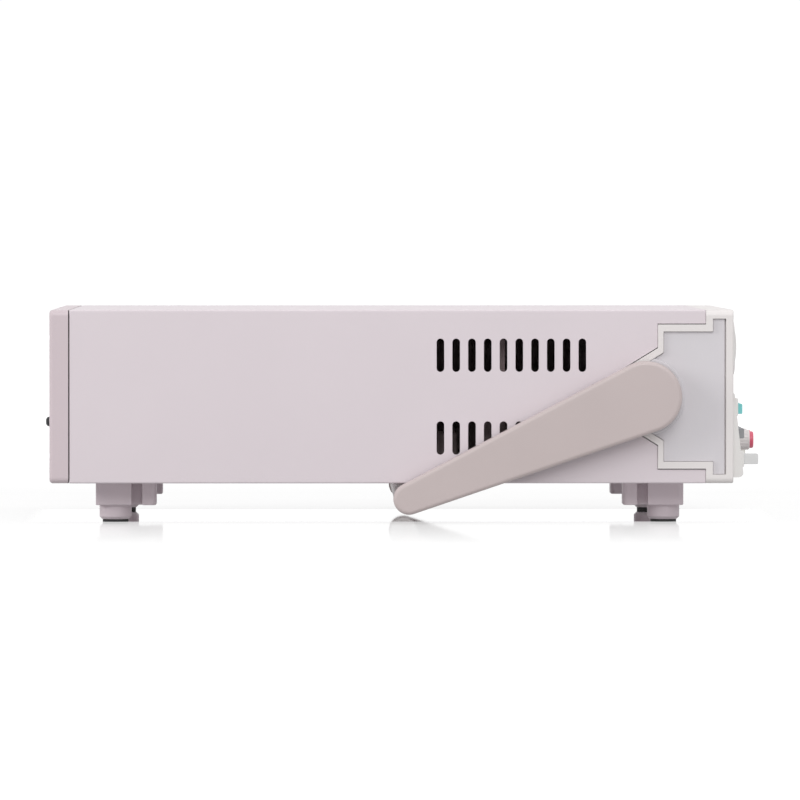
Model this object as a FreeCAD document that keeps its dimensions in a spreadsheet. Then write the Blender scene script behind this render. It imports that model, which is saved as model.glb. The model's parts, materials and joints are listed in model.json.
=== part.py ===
import FreeCAD, Part
import math
import os
import Sketcher

# Bench function generator: a 2U steel case between moulded front and rear bezels, with a carrying
# handle that turns about two hubs on the front bezel's ears.
# Frame: millimetres, +Z up, the front faces -Y, the user's right is +X. The origin is under the
# middle of the object, at the bottom of the feet.

SIZES = {
    # case
    "case_width": 240.0,
    "case_height": 88.0,
    "case_depth": 347.0,
    "case_base": 20.4,
    "front_proud": 16.9,
    "rear_proud": 5.5,
    "sheet": 1.0,
    "seam": 0.4,
    "front_seam": 0.12,
    "rear_seam": 0.5,
    "cover_bend": 0.8,
    "front_bezel_depth": 14.0,
    "rear_bezel_depth": 9.6,
    "bezel_proud": 1.0,
    "bezel_corner": 3.0,
    # side ears of the front bezel, measured back from the front face and up from mid height
    "ear_wall": 4.0,
    "ear_step_depth": 38.4,
    "ear_step_rise": 36.6,
    "ear_neck_rise": 24.6,
    "ear_tip_depth": 68.0,
    "ear_tip_rise": 6.4,
    "trim_front": 3.8,
    "trim_notch_depth": 10.4,
    "trim_notch_rise": 39.5,
    "trim_rise": 33.0,
    "trim_step_depth": 35.5,
    "trim_neck_rise": 22.4,
    "trim_tip_depth": 62.5,
    "trim_tip_rise": 5.85,
    "trim_sink": 1.3,
    "trim_plate": 1.5,
    "trim_gap": 0.15,
    "trim_front_gap": 0.7,
    "ring_inner": 12.0,
    # handle
    "hub_depth": 44.6,
    "hub_radius": 18.1,
    "boss_radius": 19.8,
    "boss_proud": 0.4,
    "tip_radius": 7.9,
    "arm_reach": 130.8,
    "arm_angle": 23.3,
    "arm_inner": 122.4,
    "arm_thickness": 10.0,
    "arm_edge": 2.0,
    "grip_radius": 7.2,
    "pivot_radius": 3.95,
    "pivot_bore": 4.0,
    # vents
    "vent_width": 3.86,
    "vent_height": 16.9,
    "vent_pitch": 8.0,
    "vent_first_depth": 76.7,
    "vent_row_rise": 21.0,
    # front panel, depths measured back from the bezel's front face (negative stands out)
    "panel_half_width": 112.7,
    "panel_foot": 23.2,
    "panel_brow": 65.6,
    "panel_top": 104.2,
    "panel_back": 3.1,
    "brow_proud": 1.0,
    "foot_proud": 5.7,
    "strip_face": 3.1,
    "collar_face": 6.2,
    "panel_wall": 2.2,
    "board_front": 9.6,
    "board": 1.6,
    # display
    "window_left": -106.0,
    "window_right": 40.0,
    "window_base": 76.0,
    "window_height": 27.2,
    "window_bulge": 2.2,
    # keys
    "key_width": 13.0,
    "key_height": 5.1,
    "key_pitch": 20.0,
    "key_first": -98.0,
    "key_gap": 0.3,
    "key_travel": 1.0,
    "function_row": 57.8,
    "menu_row": 45.3,
    "lower_row": 32.3,
    "function_key_face": -5.4,
    "menu_key_face": -6.3,
    "lower_key_face": -7.6,
    "key_round": 0.6,
    # controls and connectors
    "knob_radius": 5.25,
    "knob_row": 39.2,
    "amplitude_place": 8.0,
    "offset_place": 34.0,
    "tuning_place": 82.0,
    "tuning_rise": 86.0,
    "tuning_radius": 17.0,
    "button_place": -100.0,
    "button_half_height": 2.65,
    "button_travel": 3.5,
    "sync_place": 70.0,
    "output_place": 97.0,
    "jack_row": 35.0,
    "jack_reach": 11.7,
    # feet
    "foot_inset": 22.0,
    "foot_width": 22.0,
    "foot_long": 30.8,
    "foot_block_base": 8.6,
    "foot_post_radius": 8.2,
    "foot_post_place": 9.9,
    "front_foot_depth": 24.3,
    "rear_foot_depth": 22.9,
    "foot_waist_near": 18.2,
    "foot_waist_far": 23.7,
    "foot_waist_cut": 7.2,
    "pad_thickness": 1.3,
    "pad_radius": 6.6,
    # rear panel
    "rear_face": 340.8,
    "rear_plate": 1.2,
    "jack_seat": -4.2,
    "nut_seat": -0.8,
    "inlet_left": 56.0,
    "inlet_base": 34.0,
    "inlet_width": 28.0,
    "inlet_height": 30.0,
    "ground_across": -60.0,
    "ground_height": 50.4,
    "ground_proud": 3.6,
    "rear_jack_across": 88.0,
    "rear_jack_height": 84.0,
    # inside
    "pillar_height": 6.0,
}

# depth low, depth high, left, right of the main board and the power board
BOARD_PLACES = ((70.0, 240.0, -104.0, 100.0), (250.0, 316.0, -30.0, 100.0))
# depth, left, length, width, height of each block-shaped part on the boards
BLOCK_PARTS = (
    (76.0, 40.0, 92.0, 1.6, 66.0),
    (115.6, -103.5, 2.6, 2.0, 66.0),
    (84.0, -98.0, 44.0, 34.0, 34.0),
    (90.0, -40.0, 24.0, 24.0, 3.0),
    (92.0, 10.0, 16.0, 30.0, 9.0),
    (140.0, -90.0, 30.0, 46.0, 16.0),
    (150.0, -20.0, 14.0, 14.0, 2.4),
    (180.0, 30.0, 50.0, 8.0, 42.0),
    (262.0, -20.0, 44.0, 6.0, 36.0),
    (270.0, 60.0, 18.0, 22.0, 20.0),
)
# depth, across, radius, height of each round capacitor
ROUND_PARTS = (
    (200.0, -70.0, 8.0, 25.0),
    (200.0, -50.0, 8.0, 25.0),
    (222.0, -60.0, 5.0, 16.0),
    (280.0, 20.0, 11.0, 30.0),
    (304.0, 30.0, 6.0, 18.0),
)

DOC = FreeCAD.newDocument("FunctionGenerator")
SHEET = DOC.addObject("Spreadsheet::Sheet", "Sizes")
NODES = []
PLANE_NORMAL = {"XY": 1, "XZ": -1, "YZ": 1}
UNIT = {"X": FreeCAD.Vector(1, 0, 0), "Y": FreeCAD.Vector(0, 1, 0), "Z": FreeCAD.Vector(0, 0, 1)}
HALF_TURN = FreeCAD.Rotation(UNIT["Z"], 180)
EXTRA = 2.0


class Size:
    """A length that carries its value and the sheet expression it comes from."""

    def __init__(self, value, text=None):
        self.value = float(value)
        self.text = text if text is not None else format(self.value, ".6f")

    def __add__(self, other):
        other = size_of(other)
        return Size(self.value + other.value, f"({self.text} + {other.text})")

    def __sub__(self, other):
        other = size_of(other)
        return Size(self.value - other.value, f"({self.text} - {other.text})")

    def __mul__(self, factor):
        return Size(self.value * factor, f"({self.text} * {factor:.6f})")

    def __truediv__(self, factor):
        return self * (1.0 / factor)

    def __neg__(self):
        return self * -1.0

    def __radd__(self, other):
        return size_of(other) + self

    def __rsub__(self, other):
        return size_of(other) - self

    def __rmul__(self, factor):
        return self * factor


def size_of(number):
    return number if isinstance(number, Size) else Size(number)


def fill_sheet():
    for row, (alias, value) in enumerate(SIZES.items(), start=1):
        SHEET.set(f"A{row}", alias.replace("_", " "))
        SHEET.set(f"B{row}", str(value))
        SHEET.setAlias(f"B{row}", alias)
    DOC.recompute()


def cell(alias):
    return Size(SIZES[alias], f"Sizes.{alias}")


def bind(item, path, number):
    item.setExpression(path, size_of(number).text)


def node(item, label):
    """Names a finished piece and lists it for export."""
    item.Label = label
    NODES.append((label, item))
    return item


# ---------------------------------------------------------------- sketches

def polygon(points):
    """Closed outline through (across, up) points."""
    corners = [(size_of(a), size_of(b)) for a, b in points]

    def draw(sketch):
        first = sketch.GeometryCount
        count = len(corners)
        for number in range(count):
            start = corners[number]
            end = corners[(number + 1) % count]
            sketch.addGeometry(Part.LineSegment(
                FreeCAD.Vector(start[0].value, start[1].value, 0),
                FreeCAD.Vector(end[0].value, end[1].value, 0)))
        for number in range(count):
            sketch.addConstraint(Sketcher.Constraint(
                "Coincident", first + number, 2, first + (number + 1) % count, 1))
        for number in range(count):
            pin_point(sketch, first + number, 1, corners[number])
    return draw


def rectangle(low, high):
    return polygon([(low[0], low[1]), (high[0], low[1]), (high[0], high[1]), (low[0], high[1])])


def circle(centre, radius):
    centre = (size_of(centre[0]), size_of(centre[1]))
    radius = size_of(radius)

    def draw(sketch):
        index = sketch.addGeometry(Part.Circle(
            FreeCAD.Vector(centre[0].value, centre[1].value, 0), FreeCAD.Vector(0, 0, 1), radius.value))
        pin_point(sketch, index, 3, centre)
        pin_radius(sketch, index, radius)
    return draw


def capsule(near, near_radius, far, far_radius):
    """Two round ends joined by the straight lines that touch both."""
    near = (size_of(near[0]), size_of(near[1]))
    far = (size_of(far[0]), size_of(far[1]))
    radii = (size_of(near_radius), size_of(far_radius))

    def draw(sketch):
        across = far[0].value - near[0].value
        up = far[1].value - near[1].value
        heading = math.atan2(up, across)
        lean = math.acos((radii[0].value - radii[1].value) / math.hypot(across, up))
        arcs = []
        for centre, radius, start, end in ((near, radii[0], heading + lean, heading - lean + 2 * math.pi),
                                           (far, radii[1], heading - lean, heading + lean)):
            round_end = Part.Circle(FreeCAD.Vector(centre[0].value, centre[1].value, 0),
                                    FreeCAD.Vector(0, 0, 1), radius.value)
            arcs.append(sketch.addGeometry(Part.ArcOfCircle(round_end, start, end)))
        for arc_a, point_a, arc_b, point_b in ((arcs[0], 2, arcs[1], 1), (arcs[1], 2, arcs[0], 1)):
            line = sketch.addGeometry(Part.LineSegment(
                sketch.getPoint(arc_a, point_a), sketch.getPoint(arc_b, point_b)))
            sketch.addConstraint(Sketcher.Constraint("Tangent", arc_a, point_a, line, 1))
            sketch.addConstraint(Sketcher.Constraint("Tangent", line, 2, arc_b, point_b))
        for arc, centre, radius in ((arcs[0], near, radii[0]), (arcs[1], far, radii[1])):
            pin_point(sketch, arc, 3, centre)
            pin_radius(sketch, arc, radius)
    return draw


def pin_point(sketch, index, point, place):
    for kind, coordinate in (("DistanceX", place[0]), ("DistanceY", place[1])):
        number = sketch.addConstraint(Sketcher.Constraint(kind, -1, 1, index, point, coordinate.value))
        bind(sketch, f"Constraints[{number}]", coordinate)


def pin_radius(sketch, index, radius):
    number = sketch.addConstraint(Sketcher.Constraint("Radius", index, radius.value))
    bind(sketch, f"Constraints[{number}]", radius)


# ---------------------------------------------------------------- part design features

def new_body(label):
    return node(DOC.addObject("PartDesign::Body", label), label)


def sketch_on(body, plane, height, shapes):
    sketch = body.newObject("Sketcher::SketchObject", f"{body.Name}_sketch")
    support = [item for item in body.Origin.OriginFeatures if item.Role == f"{plane}_Plane"][0]
    sketch.AttachmentSupport = (support, [""])
    sketch.MapMode = "FlatFace"
    bind(sketch, "AttachmentOffset.Base.z", size_of(height) * PLANE_NORMAL[plane])
    for shape in shapes:
        shape(sketch)
    return sketch


def extrude(body, kind, plane, shapes, low, high):
    """Pads or pockets the shapes from low to high along the plane's axis."""
    low = size_of(low)
    high = size_of(high)
    start = low if PLANE_NORMAL[plane] > 0 else high
    before = body.Shape.Volume if body.Tip else 0.0
    feature = body.newObject(f"PartDesign::{kind}", f"{body.Name}_{kind}")
    feature.Profile = sketch_on(body, plane, start, shapes)
    feature.Type = "Length"
    bind(feature, "Length", high - low)
    feature.Reversed = kind == "Pocket"
    body.Tip = feature
    DOC.recompute()
    gain = body.Shape.Volume - before
    if gain * (1 if kind == "Pad" else -1) <= 0:
        raise RuntimeError(f"{body.Label}: a {kind} changed nothing")
    return feature


def pad(body, plane, shapes, low, high):
    return extrude(body, "Pad", plane, shapes, low, high)


def pocket(body, plane, shapes, low, high):
    return extrude(body, "Pocket", plane, shapes, low, high)


def revolve(body, points):
    """Turns a (radius, along) outline once round the body's own Y axis."""
    feature = body.newObject("PartDesign::Revolution", f"{body.Name}_Revolution")
    feature.Profile = sketch_on(body, "XY", 0, [polygon(points)])
    feature.ReferenceAxis = (feature.Profile[0], ["V_Axis"])
    feature.Angle = 360.0
    body.Tip = feature
    DOC.recompute()
    return feature


def dress(body, kind, bound, amount, wanted):
    """Rounds or chamfers the edges that the wanted test picks."""
    base = body.Tip
    names = [f"Edge{number}" for number, edge in enumerate(base.Shape.Edges, start=1) if wanted(edge)]
    feature = body.newObject(f"PartDesign::{kind}", f"{body.Name}_{kind}")
    feature.Base = (base, names)
    bind(feature, bound, amount)
    body.Tip = feature
    DOC.recompute()
    return feature


def fillet(body, radius, wanted):
    return dress(body, "Fillet", "Radius", radius, wanted)


def chamfer(body, size, wanted):
    return dress(body, "Chamfer", "Size", size, wanted)


def repeat_along(body, feature, pitch, count):
    """Repeats a feature along its sketch's horizontal axis."""
    pattern = body.newObject("PartDesign::LinearPattern", f"{body.Name}_row")
    pattern.Originals = [feature]
    pattern.Direction = (feature.Profile[0], ["H_Axis"])
    bind(pattern, "Length", size_of(pitch) * (count - 1))
    pattern.Occurrences = count
    body.Tip = pattern
    DOC.recompute()
    return pattern


def repeat_round(body, feature, count):
    """Repeats a feature round the body's own Y axis."""
    pattern = body.newObject("PartDesign::PolarPattern", f"{body.Name}_ring")
    pattern.Originals = [feature]
    pattern.Axis = ([item for item in body.Origin.OriginFeatures if item.Role == "Y_Axis"][0], [""])
    pattern.Angle = 360.0
    pattern.Occurrences = count
    body.Tip = pattern
    DOC.recompute()
    return pattern


def runs_along(axis, test=lambda centre: True):
    """Picks straight edges along an axis whose middle passes the test."""
    direction = UNIT[axis]

    def wanted(edge):
        if edge.Curve.TypeId != "Part::GeomLine":
            return False
        return abs(edge.Curve.Direction.dot(direction)) > 0.999 and test(edge.CenterOfMass)
    return wanted


def lies_at(axis, place, test=lambda centre: True):
    """Picks edges that lie wholly in the plane across an axis at a place."""
    def wanted(edge):
        box = edge.BoundBox
        low, high = {"X": (box.XMin, box.XMax), "Y": (box.YMin, box.YMax), "Z": (box.ZMin, box.ZMax)}[axis]
        return abs(low - place) < 0.01 and abs(high - place) < 0.01 and test(edge.CenterOfMass)
    return wanted


# ---------------------------------------------------------------- primitives and booleans

def move_to(item, place):
    for axis, coordinate in zip("xyz", place):
        bind(item, f"Placement.Base.{axis}", coordinate)
    return item


def box(name, low, high):
    item = DOC.addObject("Part::Box", name)
    for path, start, end in zip(("Length", "Width", "Height"), low, high):
        bind(item, path, size_of(end) - size_of(start))
    return move_to(item, low)


def rod(name, axis, radius, base, length):
    """Cylinder from a base point along +X, +Y or +Z."""
    item = DOC.addObject("Part::Cylinder", name)
    bind(item, "Radius", radius)
    bind(item, "Height", length)
    item.Placement.Rotation = FreeCAD.Rotation(UNIT["Z"], UNIT[axis])
    return move_to(item, base)


def cut(name, base, tool):
    item = DOC.addObject("Part::Cut", name)
    item.Base = base
    item.Tool = tool
    return item


def fuse(name, pieces):
    item = DOC.addObject("Part::MultiFuse", name)
    item.Shapes = pieces
    return item


def group(label, pieces):
    item = DOC.addObject("Part::Compound", label)
    item.Links = pieces
    return node(item, label)


# ---------------------------------------------------------------- places

def back(depth):
    """Y of a depth measured back from the front bezel's face."""
    return (cell("front_proud") - cell("rear_proud") - cell("case_depth")) / 2 + depth


def mid_height():
    return cell("case_base") + cell("case_height") / 2


def rise(amount):
    """Z of a height measured up from the case's mid height."""
    return mid_height() + amount


def case_top():
    return cell("case_base") + cell("case_height")


def half_width():
    return cell("case_width") / 2


def side_span(side, inner, outer):
    """Low and high X of a slab between two distances from the middle, on one side."""
    inner = size_of(inner)
    outer = size_of(outer)
    return (inner, outer) if side > 0 else (-outer, -inner)


def panel_face(height):
    """Depth of the sloping key panel's face at a height, from its brow down to its foot."""
    brow = cell("panel_brow").value
    foot = cell("panel_foot").value
    share = (brow - height) / (brow - foot)
    return -cell("brow_proud") - (cell("foot_proud") - cell("brow_proud")) * share


def ear_outline(rise_gap=0.0, depth_gap=0.0):
    """Stepped and pointed outline of a side ear, (depth, height) points, grown by the gaps."""
    front = cell("front_bezel_depth") - EXTRA
    half = [
        (back(front), cell("ear_step_rise") + rise_gap),
        (back(cell("ear_step_depth") + depth_gap), cell("ear_step_rise") + rise_gap),
        (back(cell("ear_step_depth") + depth_gap), cell("ear_neck_rise") + rise_gap),
        (back(cell("ear_tip_depth") + depth_gap), cell("ear_tip_rise") + rise_gap),
    ]
    upper = [(depth, mid_height() + height) for depth, height in half]
    lower = [(depth, mid_height() - height) for depth, height in reversed(half)]
    return polygon(upper + lower)


def trim_outline(gap=0.0, front_gap=0.0):
    """Outline of the sunk plate inside an ear, shrunk by a gap, and by another at its front edge."""
    half = [
        (back(cell("trim_front") + front_gap), cell("trim_notch_rise") - gap),
        (back(cell("trim_notch_depth") - gap), cell("trim_notch_rise") - gap),
        (back(cell("trim_notch_depth") - gap), cell("trim_rise") - gap),
        (back(cell("trim_step_depth") - gap), cell("trim_rise") - gap),
        (back(cell("trim_step_depth") - gap), cell("trim_neck_rise") - gap),
        (back(cell("trim_tip_depth") - gap), cell("trim_tip_rise") - gap),
    ]
    upper = [(depth, mid_height() + height) for depth, height in half]
    lower = [(depth, mid_height() - height) for depth, height in reversed(half)]
    return polygon(upper + lower)


def hub_place():
    return (back(cell("hub_depth")), mid_height())


# ---------------------------------------------------------------- housing

def make_top_cover():
    body = new_body("top_cover")
    half = half_width()
    sheet = cell("sheet")
    front = back(cell("front_bezel_depth") + cell("front_seam"))
    rear = back(cell("case_depth") - cell("rear_bezel_depth") - cell("rear_seam"))
    pad(body, "XZ", [rectangle((-half, cell("case_base")), (half, case_top()))], front, rear)
    fillet(body, cell("cover_bend"), runs_along("Y"))
    fillet(body, sheet / 2, lies_at("Y", rear.value))
    hollow = rectangle((sheet - half, cell("case_base") - EXTRA), (half - sheet, case_top() - sheet))
    pocket(body, "XZ", [hollow], front - EXTRA, rear + EXTRA)
    pocket(body, "YZ", [ear_outline(cell("seam"), cell("front_seam"))], -half - EXTRA, half + EXTRA)
    radius = cell("vent_width") / 2
    reach = cell("vent_height") / 2 - radius
    slots = []
    for row in (1, -1):
        centre = rise(cell("vent_row_rise") * row)
        place = back(cell("vent_first_depth"))
        slots.append(capsule((place, centre - reach), radius, (place, centre + reach), radius))
    first = pocket(body, "YZ", slots, -half - EXTRA, half + EXTRA)
    repeat_along(body, first, cell("vent_pitch"), 10)


def make_bottom_cover():
    """Floor pan with low side flanges and pressed pillars for the boards."""
    body = new_body("bottom_cover")
    sheet = cell("sheet")
    half = half_width() - sheet - 0.2
    base = cell("case_base")
    front = back(cell("front_bezel_depth") + cell("front_seam"))
    rear = back(cell("case_depth") - cell("rear_bezel_depth") - cell("rear_seam"))
    flange = base + 6.0
    pad(body, "XZ", [rectangle((-half, base), (half, flange))], front, rear)
    pocket(body, "XZ", [rectangle((sheet - half, base + sheet), (half - sheet, flange + EXTRA))],
           front - EXTRA, rear + EXTRA)
    pillar_top = base + sheet + cell("pillar_height")
    pillars = []
    for low, high, left, right in BOARD_PLACES:
        for depth in (low + 6.0, high - 6.0):
            for across in (left + 6.0, right - 6.0):
                pillars.append(circle((across, back(depth)), 3.0))
    pad(body, "XY", pillars, base + sheet / 2, pillar_top)
    holes = [circle((across, depth), 2.1) for across, depth in foot_centres()]
    pocket(body, "XY", holes, base - EXTRA, base + sheet + EXTRA)


def make_front_bezel():
    body = new_body("front_bezel")
    outer = half_width() + cell("bezel_proud")
    depth = cell("front_bezel_depth")
    pad(body, "XZ", [rectangle((-outer, cell("case_base")), (outer, case_top()))], back(0), back(depth))
    fillet(body, cell("bezel_corner"), runs_along("Y"))
    fillet(body, 0.8, lies_at("Y", back(0).value))
    opening = rectangle((-cell("panel_half_width") - 0.3, cell("panel_foot") - 0.3),
                        (cell("panel_half_width") + 0.3, cell("panel_top") + 0.3))
    pocket(body, "XZ", [opening], back(-EXTRA), back(depth + EXTRA))
    inner = outer - cell("ear_wall")
    seat = outer - cell("trim_sink") - cell("trim_plate")
    for side in (-1, 1):
        pad(body, "YZ", [ear_outline()], *side_span(side, inner, outer))
        pocket(body, "YZ", [trim_outline()], *side_span(side, seat, outer + EXTRA))
        hub = circle(hub_place(), cell("ring_inner") - cell("trim_gap"))
        pad(body, "YZ", [hub], *side_span(side, inner, outer + cell("boss_proud")))
        bore = circle(hub_place(), cell("pivot_bore"))
        pocket(body, "YZ", [bore], *side_span(side, inner - EXTRA, outer + EXTRA))


def make_side_trim(side, label):
    """Sunk plate with a raised ring behind the arm's round end; the ring follows the plate's point."""
    body = new_body(label)
    face = half_width() + cell("bezel_proud")
    outer = face - cell("trim_sink")
    inner = outer - cell("trim_plate")
    proud = face + cell("boss_proud")
    outline = trim_outline(cell("trim_gap"), cell("trim_front_gap"))
    pad(body, "YZ", [outline], *side_span(side, inner, proud))
    around = polygon([
        (back(-EXTRA), cell("case_base")),
        (back(cell("ear_tip_depth")), cell("case_base")),
        (back(cell("ear_tip_depth")), case_top()),
        (back(-EXTRA), case_top()),
    ])
    boss = circle(hub_place(), cell("boss_radius"))
    pocket(body, "YZ", [around, boss], *side_span(side, outer, proud + EXTRA))
    fillet(body, 0.5, lies_at("X", proud.value * side, on_circle))
    hole = circle(hub_place(), cell("ring_inner"))
    pocket(body, "YZ", [hole], *side_span(side, inner - EXTRA, proud + EXTRA))


def on_circle(centre):
    """True for the boss ring's round edge, whose middle lies off the hub's own axis."""
    return centre.y < hub_place()[0].value - 1.0


def make_rear_bezel():
    body = new_body("rear_bezel")
    outer = half_width() + 0.3
    low = cell("case_depth") - cell("rear_bezel_depth")
    high = cell("case_depth")
    pad(body, "XZ", [rectangle((-outer, cell("case_base")), (outer, case_top()))], back(low), back(high))
    fillet(body, cell("bezel_corner"), runs_along("Y"))
    fillet(body, 1.7, lies_at("Y", back(high).value))
    opening = rear_rectangle(8.0, 7.0)
    pocket(body, "XZ", [opening], back(low - EXTRA), back(high + EXTRA))
    pocket(body, "XZ", [rear_rectangle(5.8, 4.8)], back(low - EXTRA), back(cell("rear_face")))
    shanks = [circle(place, 1.7) for place in rear_screw_places()]
    pocket(body, "XZ", shanks, back(low - EXTRA), back(high + EXTRA))
    heads = [circle(place, 2.9) for place in rear_screw_places()]
    pocket(body, "XZ", heads, back(high - 2.4), back(high + EXTRA))


def rear_rectangle(side_inset, end_inset):
    """Rectangle set in from the case's outline."""
    across = half_width() - side_inset
    return rectangle((-across, cell("case_base") + end_inset), (across, case_top() - end_inset))


def rear_screw_places():
    across = half_width() - 3.6
    return [(across * side, rise(30.0 * way)) for side in (-1, 1) for way in (-1, 1)]


def make_rear_panel():
    body = new_body("rear_panel")
    face = cell("rear_face")
    inside = face - cell("rear_plate")
    pad(body, "XZ", [rear_rectangle(6.0, 5.0)], back(inside), back(face))
    low, high = inlet_corners()
    holes = [
        rectangle((low[0] - 0.3, low[1] - 0.3), (high[0] + 0.3, high[1] + 0.3)),
        circle(ground_place(), 2.2),
        circle(rear_jack_place(), 6.5),
    ]
    through = (back(inside - EXTRA), back(face + EXTRA))
    pocket(body, "XZ", holes, *through)
    slot = capsule((-20.0, 46.0), 1.6, (-20.0, 84.0), 1.6)
    first = pocket(body, "XZ", [slot], *through)
    repeat_along(body, first, 7.0, 8)


# ---------------------------------------------------------------- front panel and display

def make_front_panel():
    """Display surround above, sloping key panel below, hollow behind, with every opening."""
    body = new_body("front_panel")
    half = cell("panel_half_width")
    brow = cell("panel_brow")
    foot = cell("panel_foot")
    top = cell("panel_top")
    rear = back(cell("panel_back"))
    wall = cell("panel_wall")
    profile = polygon([
        (back(0.6), top),
        (back(0.6), brow + 1.2),
        (back(-cell("brow_proud")), brow),
        (back(-cell("foot_proud")), foot),
        (rear, foot),
        (rear, top),
    ])
    pad(body, "YZ", [profile], -half, half)
    corner_y = back(-cell("foot_proud")).value + 0.1
    fillet(body, 2.4, runs_along("X", lambda centre: centre.z < foot.value + 0.1 and centre.y < corner_y))
    strip = rectangle((cell("key_first") - 9.0, cell("function_row") - 3.4),
                      (cell("key_first") + cell("key_pitch") * 4 + 9.0, cell("function_row") + 5.4))
    strip_face = back(-cell("strip_face"))
    pad(body, "XZ", [strip], strip_face, back(-1.0))
    fillet(body, 0.5, lies_at("Y", strip_face.value))
    collar_face = back(-cell("collar_face"))
    pad(body, "XZ", [button_rectangle(1.4)], collar_face, back(-2.0))
    fillet(body, 0.6, lies_at("Y", collar_face.value))
    hollow = polygon([
        (rear + EXTRA, brow - wall),
        (back(panel_face(brow.value - wall.value)) + wall, brow - wall),
        (back(panel_face(foot.value + wall.value)) + wall, foot + wall),
        (rear + EXTRA, foot + wall),
    ])
    pocket(body, "YZ", [hollow], wall - half, half - wall)
    seats = [circle((place, cell("jack_row")), 8.4) for place in (cell("sync_place"), cell("output_place"))]
    pad(body, "XZ", seats, back(cell("jack_seat")), back(cell("nut_seat")))
    gap = cell("key_gap")
    holes = [key_rectangle(across, height, gap) for across, height, face, label in key_places()]
    holes.append(button_rectangle(gap))
    holes.append(rectangle((cell("window_left") - 0.2, cell("window_base") - 0.2),
                           (cell("window_right") + 0.2, cell("window_base") + cell("window_height") + 0.2)))
    holes.append(circle((cell("tuning_place"), cell("tuning_rise")), 4.8))
    for place in (cell("amplitude_place"), cell("offset_place")):
        holes.append(circle((place, cell("knob_row")), 3.9))
    for place in (cell("sync_place"), cell("output_place")):
        holes.append(circle((place, cell("jack_row")), 6.5))
    pocket(body, "XZ", holes, back(-8.0), back(cell("panel_back") + EXTRA))
    posts = [circle(place, 2.8) for place in post_places()]
    pad(body, "XZ", posts, back(cell("panel_back") - 1.0), back(cell("board_front")))
    pocket(body, "XZ", seats, back(-8.0), back(cell("jack_seat")))


def post_places():
    """Posts behind the panel's four upper corners that carry the control board."""
    across = cell("panel_half_width") - 3.4
    heights = (cell("panel_brow") + 5.0, cell("panel_top") - 3.2)
    return [(across * side, height) for side in (-1, 1) for height in heights]


def key_rectangle(across, height, gap):
    half_across = cell("key_width") / 2 + gap
    half_up = cell("key_height") / 2 + gap
    return rectangle((across - half_across, height - half_up), (across + half_across, height + half_up))


def button_rectangle(gap):
    across = cell("button_place")
    height = cell("lower_row")
    half_up = cell("button_half_height") + gap
    return rectangle((across - 4.5 - gap, height - half_up), (across + 4.5 + gap, height + half_up))


def key_places():
    """Across, height, face depth and name of each key."""
    places = []
    for number in range(5):
        across = cell("key_first") + cell("key_pitch") * number
        places.append((across, cell("function_row"), cell("function_key_face"), f"function_key_{number + 1}"))
        places.append((across, cell("menu_row"), cell("menu_key_face"), f"menu_key_{number + 1}"))
    for number in range(3):
        across = cell("key_first") + cell("key_pitch") * (number + 2)
        places.append((across, cell("lower_row"), cell("lower_key_face"), f"menu_key_{number + 6}"))
    for shift, label in ((-12.0, "left_arrow_key"), (12.0, "right_arrow_key")):
        places.append((cell("tuning_place") + shift, cell("function_row"), cell("function_key_face"), label))
    return places


def make_keys():
    """Moulded caps with a catch flange behind the panel and a stem towards the switch."""
    for across, height, face, label in key_places():
        body = new_body(label)
        upper = height.value + SIZES["key_height"] / 2 + 1.2
        flange = back(panel_face(upper) + cell("panel_wall") + cell("key_gap"))
        pad(body, "XZ", [key_rectangle(across, height, 0.0)], back(face), flange)
        fillet(body, cell("key_round"), lies_at("Y", back(face).value))
        pad(body, "XZ", [key_rectangle(across, height, 1.1)], flange, flange + 1.0)
        stem = rectangle((across - 1.6, height - 1.6), (across + 1.6, height + 1.6))
        pad(body, "XZ", [stem], flange + 1.0, back(4.6))


def make_display_window():
    """Curved window, its front a round arch standing out of the bezel."""
    body = new_body("display_window")
    base = cell("window_base")
    bulge = cell("window_bulge")
    span = cell("window_height")
    steps = 12
    chord = span.value
    sag = bulge.value
    radius = (chord * chord / 4 + sag * sag) / (2 * sag)
    front = []
    for step in range(steps + 1):
        share = step / steps
        from_middle = chord * (share - 0.5)
        stand = math.sqrt(radius * radius - from_middle * from_middle) - (radius - sag)
        front.append((back(-stand), base + span * share))
    behind = [(back(2.6), base + span), (back(2.6), base)]
    pad(body, "YZ", [polygon(front + behind)], cell("window_left"), cell("window_right"))


def make_display_module():
    """Metal-framed liquid crystal display behind the window."""
    low = (cell("window_left") + 3.0, back(3.6), cell("window_base") - 1.0)
    high = (cell("window_right") - 3.0, back(9.4), cell("window_base") + cell("window_height") + 1.0)
    frame = box("display_frame", low, high)
    glass = box("display_glass",
                (low[0] + 6.0, back(3.0), low[2] + 4.0),
                (high[0] - 6.0, back(4.6), high[2] - 4.0))
    node(fuse("display_module", [frame, glass]), "display_module")


# ---------------------------------------------------------------- controls

def make_control_board():
    body = new_body("control_board")
    front = back(cell("board_front"))
    rear = front + cell("board")
    half = cell("panel_half_width") - 1.7
    low = cell("panel_foot") + 2.4
    pad(body, "XZ", [rectangle((-half, low), (half, cell("panel_top") - 0.6))], front, rear)
    holes = [button_rectangle(2.6)]
    for place in (cell("sync_place"), cell("output_place")):
        holes.append(circle((place, cell("jack_row")), 9.5))
    pocket(body, "XZ", holes, front - EXTRA, rear + EXTRA)


def make_key_switches():
    pieces = []
    front = back(cell("board_front"))
    for across, height, face, label in key_places():
        housing = box(f"{label}_housing",
                      (across - 3.0, front - 3.4, height - 3.0), (across + 3.0, front, height + 3.0))
        plunger = rod(f"{label}_plunger", "Y", 1.7, (across, front - 3.9, height), 0.6)
        pieces.append(fuse(f"{label}_switch", [housing, plunger]))
    group("key_switches", pieces)


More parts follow.
